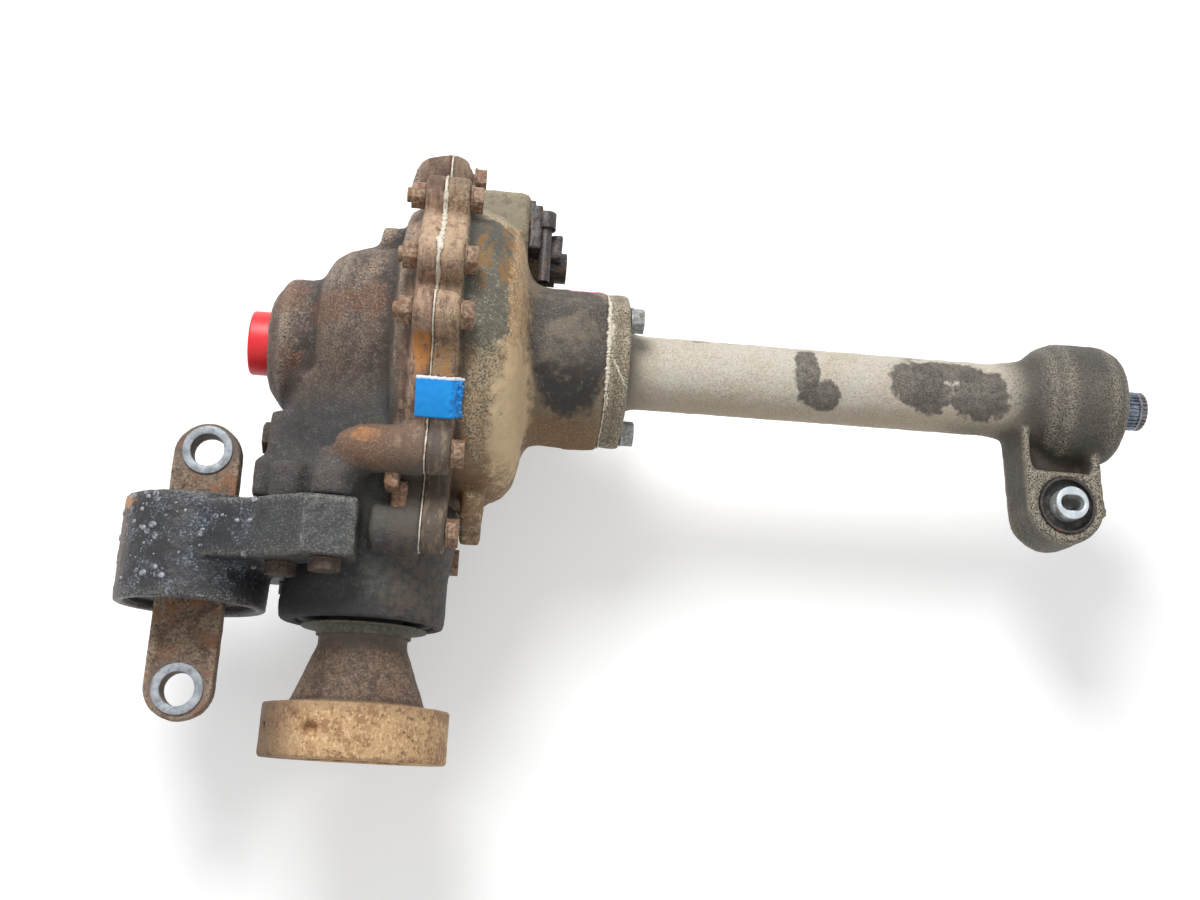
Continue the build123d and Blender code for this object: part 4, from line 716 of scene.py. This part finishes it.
# %% Places that are held still
def near_plane(axis, value, reach=3):
    """The hold on a plane across an axis."""
    return lambda points: np.clip(np.abs(points[:, axis] - value) / (reach * MM), 0, 1)


def near_bore(centre, axis, radius, reach=2.5):
    """The hold on a bore along an axis."""
    def hold(points):
        off = np.delete(points - np.array(centre), axis, axis=1)
        return np.clip(np.abs(np.linalg.norm(off, axis=1) - radius) / (reach * MM), 0, 1)
    return hold


def clear_of(nodes, reach=7):
    """The hold round parts that turn about the axle line."""
    widest = {}
    for node in nodes:
        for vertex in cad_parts[node].data.vertices:
            radius = math.hypot(vertex.co.y - axle_y, vertex.co.z)
            for near in range(-5, 6):
                key = int(vertex.co.x // MM) + near
                widest[key] = max(widest.get(key, 0), radius)
    half = reach * MM / 2

    def hold(points):
        swept = np.array([widest.get(int(x // MM), -1) for x in points[:, 0]])
        away = np.hypot(points[:, 1] - axle_y, points[:, 2]) - swept
        return np.clip((away - half) / half, 0, 1)
    print("swept radius at most", round(max(widest.values()), 4))
    return hold


turning = clear_of(["diff_case", "ring_gear", "ring_gear_bolts", "spider_pin", "spider_lock_pin"])

# %% [markdown]
# A skin stands for its CAD node. It is softened, its inner corners are filled, and then chosen places
# swell, bulge or melt. Where it bends outwards the paint calls it an edge, and inwards a hollow.


# %% A cast skin
def skin(node, cell, soft, fills, depth, hold, body="root", melts=(), swells=(), shape=None):
    """A cast skin; melts round a place off, swells fill its hollows. Lengths are in millimetres."""
    mesh = even_mesh(merged_copy(node), cell)
    points = points_of(mesh)
    edges = edges_of(mesh)
    weight = np.ones(len(points))
    for field in hold:
        weight = np.minimum(weight, field(points))
    points = relaxed(points, edges, soft, 0.25 + 0.35 * weight)
    set_points(mesh, points)
    normals = points_of(mesh, "normal")
    points = relaxed(points, edges, fills, 0.6 * weight, normals)
    for centre, reach, rounds in swells:
        points = local_relax(points, edges, centre, reach, rounds, weight, normals)
    if shape:
        points = shape(points)
    for centre, reach, rounds in melts:
        points = local_relax(points, edges, centre, reach, rounds, weight)
    set_points(mesh, points)
    normals = points_of(mesh, "normal")
    smooth = relaxed(points, edges, 14, np.full(len(points), 0.6))
    bend = ((points - smooth) * normals).sum(1)
    full_edge, full_hollow = 0.5 * MM, 0.45 * MM
    points = points + normals * (rough_cast(points, depth) * weight)[:, None]
    low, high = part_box(node)
    set_points(mesh, np.clip(points, np.array(low), np.array(high)))
    store(mesh, "edge", np.clip(bend / full_edge, 0, 1))
    store(mesh, "hollow", np.clip(-bend / full_hollow, 0, 1))
    mesh.shade_smooth()
    add_piece(node + "_cast", mesh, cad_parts[node].data.materials[0], body, node)


print("material of the cover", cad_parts["housing_cover"].data.materials[0].name)

# %% [markdown]
# The two housings meet at a machined joint, which stays crisp, and so do the boss and nose faces. The
# ears at the top are melted round. The long bolt bosses end in a dome on the real casting, and the model
# has them flat, so their points are drawn in towards their line.


# %% Cast skins of the housings
def housing_shape(points):
    """Rounds the flat ends of the two long bolt bosses, and fills out the side of the nose."""
    boss_y, boss_z, boss_radius, rounding = axle_y - 87.6 * MM, 77.5 * MM, 18.5 * MM, 23 * MM
    off_y = points[:, 1] - boss_y
    off_z = np.abs(points[:, 2]) - boss_z
    inside = np.clip((boss_radius - np.hypot(off_y, off_z)) / (3 * MM), 0, 1)
    along = np.clip(-points[:, 0] / rounding, 0, 1)
    shrink = 1 - inside * (1 - np.sqrt(1 - 0.93 * along ** 2))
    result = points.copy()
    result[:, 1] += off_y * (shrink - 1)
    result[:, 2] += np.sign(points[:, 2]) * off_z * (shrink - 1)
    return swollen([((-53, -178, 12), (7, 22, 36), 5, (-1, 0, 0))])(result)


ear_top = 142
skin("carrier_housing", cell=1.8, soft=5, fills=24, depth=0.5,
     hold=[near_plane(0, split_x), near_plane(1, nose_y, 2), turning], shape=housing_shape,
     melts=[((5, ear_top, 18), 30, 220), ((-12, -88, 78), 22, 8)],
     swells=[((-26, -108, 70), 34, 160), ((-56, -104, 44), 34, 160)])
skin("housing_cover", cell=1.8, soft=5, fills=26, depth=0.5,
     hold=[near_plane(0, split_x + 0.8 * MM), near_plane(0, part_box("housing_cover")[1].x), turning],
     shape=swollen([((88, -84, 20), (18, 34, 60), 5.5, (0.75, -0.65, 0)),
                    ((124, -52, 0), (26, 22, 40), 3.2, (0, -1, 0))]), melts=[((49, ear_top, 18), 22, 120)])

# %% [markdown]
# The tube keeps its bore and its flange face, and its end casting is rounded the most. The smaller
# castings get finer cells, and each keeps the face that something is bolted to.

# %% Cast skins of the tube, mount and flange
eye_low, eye_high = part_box("tube_bush_outer")
eye_centre = (eye_low + eye_high) / 2
eye_side = (eye_high.x / MM + 8, eye_centre.y / MM - 1 - axle_mm, 6)
skin("axle_tube", cell=1.7, soft=6, fills=34, depth=0.35,
     hold=[near_plane(0, tube_start_x, 2), near_bore(eye_centre, 2, (eye_high.x - eye_low.x) / 2)],
     swells=[((462, -30, 10), 30, 60)], shape=swollen([(eye_side, (5, 9, 12), 7, (0.9, -0.3, 0))], 1.1))
skin("mount_bracket", cell=1.5, soft=5, fills=20, depth=0.6,
     hold=[near_plane(1, ring_low.y, 2)])
skin("pinion_flange", cell=1.3, soft=3, fills=6, depth=0.35, hold=[near_plane(1, 0, 2)],
     body="pinion")
skin("mount_bush_bar", cell=1.3, soft=3, fills=0, depth=0.35,
     hold=[near_plane(2, bar_high.z, 1)])

# %% [markdown]
# Two small lugs stick out under the long boss, and a plate and a block carry the breather. They are rough
# lumps, so they start as boxes that go through the same remesh and relaxation as the housing.


# %% Cast lugs
def cast_block(name, low, high, material):
    """A rough rounded lug between two corners in millimetres, their heights from the axle line."""
    work = bmesh.new()
    bmesh.ops.create_cube(work, size=1)
    for vertex in work.verts:
        vertex.co = spot(*[(a + b) / 2 + c * (b - a) for a, b, c in zip(low, high, vertex.co)])
    mesh = bpy.data.meshes.new(name)
    work.to_mesh(mesh)
    work.free()
    mesh = even_mesh(mesh, 0.9)
    points = points_of(mesh)
    points = relaxed(points, edges_of(mesh), 8, np.full(len(points), 0.6))
    set_points(mesh, points)
    set_points(mesh, points + points_of(mesh, "normal") * rough_cast(points, 0.6, (5, 2))[:, None])
    for wear in ("edge", "hollow"):
        store(mesh, wear, np.zeros(len(points)))
    mesh.shade_smooth()
    add_piece(name, mesh, material)


cast_block("boss_lug", (9.5, -112, 58), (18.5, -94, 80), bolt_finish)
cast_block("rim_lug", (14, -124, 40), (24, -104, 66), bolt_finish)
cast_block("breather_plate", (90, 78, 2), (99, 111, 23), dark_finish)
cast_block("breather_body", (100.5, 76, -9), (114.5, 94, 12), dark_finish)

# %% [markdown]
# Bolt heads, nuts and the breather parts keep their CAD shape, but a real edge is never perfectly sharp.
# A bevel on their sharp edges alone catches the light as worn steel does. Flat faces are joined first.

# %% Worn edges on small parts
flat_angle, bevel_angle, sharp_angle = [math.radians(angle) for angle in (2, 38, 42)]
for node, width, slot in (("cover_bolts", 1.0, "rusty_bolt"), ("cover_nuts", 1.0, "rusty_bolt"),
                          ("bracket_bolts", 1.2, "rusty_bolt"), ("tube_bolts", 0.8, "zinc"),
                          ("fill_plug", 1.0, "rusty_bolt"), ("bar_washers", 0.5, "zinc"),
                          ("tube_bush_inner", 0.8, "zinc"), ("breather_bracket", 0.6, "dark_steel"),
                          ("breather_valve", 0.9, "dark_steel"), ("dust_shield", 0.5, "dark_steel"),
                          ("transport_plug", 0.8, "plug_red")):
    mesh = edited(merged_copy(node), bmesh.ops.dissolve_limit, ["verts", "edges"], angle_limit=flat_angle)
    mesh = evaluated_mesh(mesh, "BEVEL", width=width * MM, segments=2, angle_limit=bevel_angle)
    mesh.shade_smooth()
    mesh.set_sharp_from_angle(angle=sharp_angle)
    body = {"dust_shield": "pinion", "transport_plug": "red_plug"}.get(node, "root")
    add_piece(node + "_worn", mesh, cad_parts[node].data.materials[0], body, node)

# %% [markdown]
# White sealant squeezed out when the joints were closed. A bead follows the outline of each joint, which
# could be drawn by hand, but casting rays towards the axle line finds it wherever the joint is.


# %% Finding the outline of a joint
def tree_of(*meshes):
    """A search tree over several pieces at once."""
    corners, faces = [], []
    for mesh in meshes:
        start = len(corners)
        corners += [v.co.copy() for v in mesh.vertices]
        faces += [[start + i for i in p.vertices] for p in mesh.polygons]
    return BVHTree.FromPolygons(corners, faces)


def radial(x, angle, radius):
    """A point around the axle line; the angle is 0 at +Z and grows towards +Y."""
    return Vector((x, axle_y + radius * math.sin(angle), radius * math.cos(angle)))


def surface_radius(tree, x, angle):
    """How far the surface is from the axle line, or nothing where the ray meets none."""
    start = radial(x, angle, 200 * MM)
    hit = tree.ray_cast(start, Vector((x, axle_y, 0)) - start)[0]
    return (hit - Vector((x, axle_y, 0))).length if hit else None


joint_x = split_x + 0.4 * MM
joint_tree = tree_of(merged_copy("cover_seal"))
gasket_tree = tree_of(merged_copy("tube_gasket"))
print("joint radius in front", round(surface_radius(joint_tree, joint_x, 0), 4))

# %% [markdown]
# The bead is an oval section swept along the outline. Its width changes with the angle and with a slow
# noise, and it is widest high on the side that faces the camera.


# %% Sealant beads round the joints
def turn_outwards(mesh):
    edited(mesh, bmesh.ops.recalc_face_normals, ["faces"])


def oval(x, angle, radius, half, tall, sides):
    """The corners of a bead's section at one place of the outline."""
    turns = [2 * math.pi * side / sides for side in range(sides)]
    return [radial(x + half * math.cos(turn), angle, radius + tall * math.sin(turn)) for turn in turns]


def add_bead(name, corners, sides, closed):
    """Joins the sections with faces, keeps them in the model's box and adds the piece."""
    rings = len(corners) // sides
    faces = [(i * sides + j, i * sides + (j + 1) % sides,
              (i + 1) % rings * sides + (j + 1) % sides, (i + 1) % rings * sides + j)
             for i in range(rings if closed else rings - 1) for j in range(sides)]
    if not closed:
        faces += [tuple(range(sides)), tuple(range((rings - 1) * sides, rings * sides))]
    mesh = bpy.data.meshes.new(name)
    mesh.from_pydata(np.clip(np.array(corners), *cad_box).tolist(), [], faces)
    turn_outwards(mesh)
    mesh.shade_smooth()
    add_piece(name, mesh, sealant_finish)


def bead(name, tree, x, width, height, sides=7, steps=900):
    """A bead round the outline at x; width and height are functions of the angle, in millimetres."""
    corners = []
    for angle in (2 * math.pi * step / steps for step in range(steps)):
        radius = surface_radius(tree, x, angle)
        if radius is None:
            continue
        wave = noise.noise(Vector((math.sin(angle) * 40, math.cos(angle) * 40, x * 100)))
        half = width(angle) * MM / 2 * (1 + 0.7 * wave)
        tall = height(angle) * MM * (1 + 0.6 * wave)
        shift = half * 0.6 * noise.noise(Vector((math.sin(angle) * 17, math.cos(angle) * 17, 5)))
        corners += oval(x + shift, angle, radius - 0.3 * MM, half, tall, sides)
    add_bead(name, corners, sides, closed=True)


def rise(angle, low, high, fade=6):
    """1 between two angles in degrees, fading outside."""
    degrees = (math.degrees(angle) + 180) % 360 - 180
    away = max(low - degrees, degrees - high, 0)
    return max(0.0, 1 - away / fade)


bead("joint_bead", joint_tree, joint_x, lambda a: 1.1 + 3.2 * rise(a, 16, 40) + 1.4 * rise(a, 2, 12),
     lambda a: 0.55 + 0.4 * rise(a, 16, 44))
bead("tube_bead", gasket_tree, tube_start_x, lambda a: 1.2 + 2.2 * rise(a, -20, 30, 20),
     lambda a: 0.6 + 0.5 * rise(a, -20, 30, 20))

# %% [markdown]
# A few smears of the same sealant lie on the tube's flange. Each follows a short path of places given as
# x in millimetres and angle in degrees, and thins out at both ends.


# %% Sealant smears on the flange
def smear(name, tree, path, half, tall, sides=6, steps=60):
    corners = []
    for step in range(steps):
        place = step / (steps - 1) * (len(path) - 1)
        index = min(int(place), len(path) - 2)
        x, angle = [a + (b - a) * (place - index) for a, b in zip(path[index], path[index + 1])]
        x = x * MM + 0.8 * MM * noise.noise(Vector((place * 3, 7, 7)))
        angle = math.radians(angle)
        thin = math.sin(math.pi * min(0.98, max(0.02, step / (steps - 1)))) ** 0.4
        thin *= 1 + 0.6 * noise.noise(Vector((place * 6, 1, 1)))
        radius = surface_radius(tree, x, angle) - 0.2 * MM
        corners += oval(x, angle, radius, half * MM * thin, tall * MM * thin, sides)
    add_bead(name, corners, sides, closed=False)


end_tree = tree_of(bpy.data.objects["axle_tube_cast"].data)
smear("flange_crease", end_tree, [(149, -6), (153, -14), (158, -24), (161, -30)], 0.9, 0.9)
smear("flange_chip", end_tree, [(148.5, -34), (149, -42), (148.8, -50)], 0.8, 0.8)
smear("flange_lump", end_tree, [(149, 20), (150.5, 14), (149, 7)], 1.6, 1.2)

# %% [markdown]
# A plain strip of blue tape lies over both rims below the middle. It is a grid of points dropped onto the
# metal from outside, held up between the high places as a stretched tape is, torn along its upper edge
# and crumpled where it hangs over the right rim. A cloth simulation would do it too, but less surely.


# %% Tape finish
def beyond(start, share):
    """0 up to start, rising to 1 at the end."""
    return max(0.0, (share - start) / (1 - start))


tape = Finish("tape_blue", (0, 148, 234), 0.55)
tape.coats(
    ((4, 166, 246), 0.6, (tape.noise(6), 0.5, 0.7)),
    ((8, 84, 140), 0.8, "crumple", (tape.noise(4, shift=0.3), 0.5, 0.6)))
torn_fibres = tape.maths(tape.both("torn"), tape.maths(tape.noise(3), 0.6, "MULTIPLY"))
tape.coats(
    ((236, 238, 240), 1, (torn_fibres, 0.5, 0.75)),
    ((214, 220, 226), 0.9, "crumple", (tape.noise(2.6, shift=0.8), 0.6, 0.66)))
tape_finish = tape.done()

# %% [markdown]
# The sheet starts as the distance of the metal from the axle line at each point of a grid. Smoothing that
# never goes below the metal stretches it over the gaps. Two edges and the crumpled side then get noise.

# %% Tape
rim_tree = tree_of(bpy.data.objects["carrier_housing_cast"].data, bpy.data.objects["housing_cover_cast"].data,
                   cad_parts["cover_seal"].data)
tape_left, tape_right, tape_bottom, tape_top = 25 * MM, 54 * MM, math.radians(-37.5), math.radians(-24)
rim_radius = 105 * MM
columns, rows = 48, 30
across = [column / (columns - 1) for column in range(columns)]
upwards = [row / (rows - 1) for row in range(rows)]
xs = [tape_left + (tape_right - tape_left) * u for u in across]
angles = [tape_bottom + (tape_top - tape_bottom) * v for v in upwards]
metal_radii = np.array([[surface_radius(rim_tree, x, angle) or rim_radius for x in xs] for angle in angles])
radii = metal_radii
for _ in range(60):
    pad = np.pad(radii, 1, mode="edge")
    radii = np.maximum(metal_radii, (pad[:-2, 1:-1] + pad[2:, 1:-1] + pad[1:-1, :-2] + pad[1:-1, 2:]) / 4)

corners = []
for row, (v, angle) in enumerate(zip(upwards, angles)):
    for column, (u, x) in enumerate(zip(across, xs)):
        crumple = beyond(0.66, u)
        ripple = noise.noise(Vector((u * 9, v * 7, 3)) * (1 + crumple))
        lift = (0.35 + (0.15 + 2.4 * crumple) * ripple + 1.2 * crumple) * MM
        torn_by = 0.01 * noise.noise(Vector((u * 16, 2, 2))) if row == rows - 1 else 0
        ragged_by = 3.2 * MM * noise.noise(Vector((v * 11, 4, 4))) if column == columns - 1 else 0
        corners.append(radial(x + ragged_by, angle + torn_by, radii[row, column] + lift))
faces = [(r * columns + c, r * columns + c + 1, (r + 1) * columns + c + 1, (r + 1) * columns + c)
         for r in range(rows - 1) for c in range(columns - 1)]
sheet = bpy.data.meshes.new("blue_tape")
sheet.from_pydata(corners, [], faces)
store(sheet, "torn", np.repeat([beyond(0.9, v) for v in upwards], columns))
store(sheet, "crumple", np.tile([beyond(0.72, u) for u in across], rows))
sheet = evaluated_mesh(sheet, "SOLIDIFY", thickness=0.25 * MM, offset=1)
turn_outwards(sheet)
sheet.shade_smooth()
add_piece("blue_tape", sheet, tape_finish)

# %% [markdown]
# Paint blisters and dried drops cover the ring of the mount. Many alike things are what Geometry Nodes
# are for: points are scattered over the part of the ring that faces up, and a flat drop sits on each.


# %% A tree that scatters drops
def scatter_tree(name):
    """A node tree that scatters flattened drops where the attribute named wet is above 0."""
    tree = bpy.data.node_groups.new(name, "GeometryNodeTree")
    face = tree.interface
    face.new_socket("Surface", in_out="INPUT", socket_type="NodeSocketGeometry")
    for label, kind, value in (("Density", "NodeSocketFloat", 1.0), ("Smallest", "NodeSocketFloat", 1 * MM),
                               ("Largest", "NodeSocketFloat", 2 * MM), ("Seed", "NodeSocketInt", 1)):
        face.new_socket(label, in_out="INPUT", socket_type=kind).default_value = value
    face.new_socket("Material", in_out="INPUT", socket_type="NodeSocketMaterial")
    face.new_socket("Drops", in_out="OUTPUT", socket_type="NodeSocketGeometry")
    given = put(tree, "NodeGroupInput").outputs
    wet = put(tree, "GeometryNodeInputNamedAttribute", {"Name": "wet"}, data_type="FLOAT").outputs[0]
    density = put(tree, "ShaderNodeMath", {0: given["Density"], 1: wet}, operation="MULTIPLY").outputs[0]
    points = put(tree, "GeometryNodeDistributePointsOnFaces", {"Mesh": given["Surface"], "Density": density,
                 "Seed": given["Seed"]}).outputs
    chance = put(tree, "FunctionNodeRandomValue", {"Seed": given["Seed"]}, data_type="FLOAT").outputs[1]
    mostly_small = put(tree, "ShaderNodeMath", {0: chance, 1: 3.0}, operation="POWER").outputs[0]
    size = put(tree, "ShaderNodeMapRange", {"Value": mostly_small, "To Min": given["Smallest"],
               "To Max": given["Largest"]}).outputs["Result"]
    drop = put(tree, "GeometryNodeMeshIcoSphere", {"Radius": 1.0, "Subdivisions": 2}).outputs["Mesh"]
    flat = put(tree, "GeometryNodeTransform", {"Geometry": drop, "Scale": (1.0, 1.3, 0.45)}).outputs[0]
    placed = put(tree, "GeometryNodeInstanceOnPoints", {"Points": points["Points"], "Instance": flat,
                 "Rotation": points["Rotation"], "Scale": size}).outputs["Instances"]
    real = put(tree, "GeometryNodeRealizeInstances", {"Geometry": placed}).outputs["Geometry"]
    smooth = put(tree, "GeometryNodeSetShadeSmooth", {"Geometry": real}).outputs["Geometry"]
    painted = put(tree, "GeometryNodeSetMaterial", {"Geometry": smooth, "Material": given["Material"]})
    put(tree, "NodeGroupOutput", {"Drops": painted.outputs["Geometry"]})
    return tree


drop_tree = scatter_tree("scatter_drops")
print("nodes in the scatter tree", len(drop_tree.nodes))

# %% [markdown]
# The drops are thickest where the ring faces the camera, towards its top and its left. That share is
# stored with each point of a copy of the ring's skin, and the tree reads it.

# %% Drops on the mount ring
ring_mesh = bpy.data.objects["mount_bracket_cast"].data.copy()
ring_points = points_of(ring_mesh)
facing = np.clip((points_of(ring_mesh, "normal")[:, 2] - 0.15) * 3, 0, 1)
ring_radius = np.hypot(ring_points[:, 0] - ring_centre_x, ring_points[:, 2])
wet = facing * (ring_radius > 46.5 * MM) * (ring_points[:, 0] < ring_centre_x + 44 * MM)
high_up = np.clip((ring_points[:, 1] - ring_low.y) / (ring_high.y - ring_low.y), 0.15, 1)
leftward = np.clip((ring_centre_x + 40 * MM - ring_points[:, 0]) / (60 * MM), 0.35, 1)
store(ring_mesh, "wet", wet * high_up * leftward)
drop_paint = Finish("drops_pale", (150, 150, 158), 0.32)
drop_paint.coats(((58, 60, 68), 0.9, (drop_paint.noise(4), 0.42, 0.58)))
drop_finish = drop_paint.done()
drops = evaluated_mesh(ring_mesh, "NODES", node_group=drop_tree, inputs={
    "Density": 34000.0, "Smallest": 0.5 * MM, "Largest": 2.6 * MM, "Seed": 4, "Material": drop_finish})
add_piece("ring_drops", drops, drop_finish)

# %% [markdown]
# The camera stands where the photograph was taken: almost above the unit, a little below its middle.
# Its place, angles and focal length put the model's outline where the photograph has it.

# %% Camera
camera = new_object("camera", bpy.data.cameras.new("camera"))
bpy.context.scene.camera = camera
picture_width, picture_middle_row = 1200, 450
focal_pixels, optical_row = 1353, 438.7
camera.location = (69.4 * MM, -18.2 * MM, 903.3 * MM)
camera.rotation_euler = [math.radians(a) for a in (14.81, -5.79, 2.82)]
camera.data.lens = camera.data.sensor_width * focal_pixels / picture_width
camera.data.shift_y = (optical_row - picture_middle_row) / picture_width
camera.data.clip_start = 10 * MM
print("lens", round(camera.data.lens, 2), "mm")

# %% [markdown]
# The floor is pale and keeps the shadow. It glows a little, but only for camera rays, mirror rays and
# rays through glass, and the world is brighter for the same rays. A brighter lamp would whiten the
# background too, but it would bleach the metal.


# %% Floor
def seen(tree):
    """1 for rays from the camera, by reflection or through glass; 0 for light between surfaces."""
    rays = put(tree, "ShaderNodeLightPath").outputs
    direct = put(tree, "ShaderNodeMath", {0: rays["Is Camera Ray"], 1: rays["Is Glossy Ray"]},
                 operation="MAXIMUM")
    return put(tree, "ShaderNodeMath", {0: direct.outputs[0], 1: rays["Is Transmission Ray"]},
               operation="MAXIMUM").outputs[0]


reach, pale, own_glow = 30.0, 0.86, 0.3
floor_mesh = bpy.data.meshes.new("floor")
floor_mesh.from_pydata([(-reach, -reach, floor_z), (reach, -reach, floor_z), (reach, reach, floor_z),
                        (-reach, reach, floor_z)], [], [(0, 1, 2, 3)])
floor = new_object("floor", floor_mesh)
floor_material = bpy.data.materials.new("floor_pale")
floor_material.use_nodes = True
tree = floor_material.node_tree
glow = put(tree, "ShaderNodeMath", {0: seen(tree), 1: own_glow}, operation="MULTIPLY").outputs[0]
for name, value in (("Base Color", (pale, pale, pale, 1)), ("Roughness", 0.9),
                    ("Emission Color", (1, 1, 1, 1)), ("Emission Strength", glow)):
    give(tree, tree.nodes["Principled BSDF"].inputs[name], value)
paint(floor, floor_material)
print("floor at z", round(floor_z, 4))

# %% [markdown]
# One large soft lamp stands beyond the top of the picture, a weak one fills from beyond its lower edge,
# and the world gives an even light. Large lamps keep the shadows soft.


# %% Lamps and world
def soft_lamp(name, place, size, power):
    """A round lamp that points at the middle of the unit; power is in watts."""
    lamp = new_object(name, bpy.data.lights.new(name, "AREA"))
    lamp.data.shape = "DISK"
    lamp.data.size = size
    lamp.data.energy = power
    lamp.location = place
    lamp.rotation_euler = (unit_middle - Vector(place)).to_track_quat("-Z", "Y").to_euler()
    print(name, power, "W")


unit_middle = Vector((0.15, 0.2, 0))
soft_lamp("key", (-0.3, 1.3, 1.35), size=0.8, power=30)
soft_lamp("fill", (0.3, -0.7, 1.7), size=1.4, power=4)
world = bpy.data.worlds.new("studio")
bpy.context.scene.world = world
world.use_nodes = True
tree = world.node_tree
light_on_unit, seen_white = 0.47, 1.0
level = put(tree, "ShaderNodeMapRange", {"Value": seen(tree), "To Min": light_on_unit,
            "To Max": seen_white}).outputs[0]
give(tree, tree.nodes["Background"].inputs["Strength"], level)
give(tree, tree.nodes["Background"].inputs["Color"], (1, 1, 1, 1))
bpy.context.scene.view_settings.view_transform = "Standard"
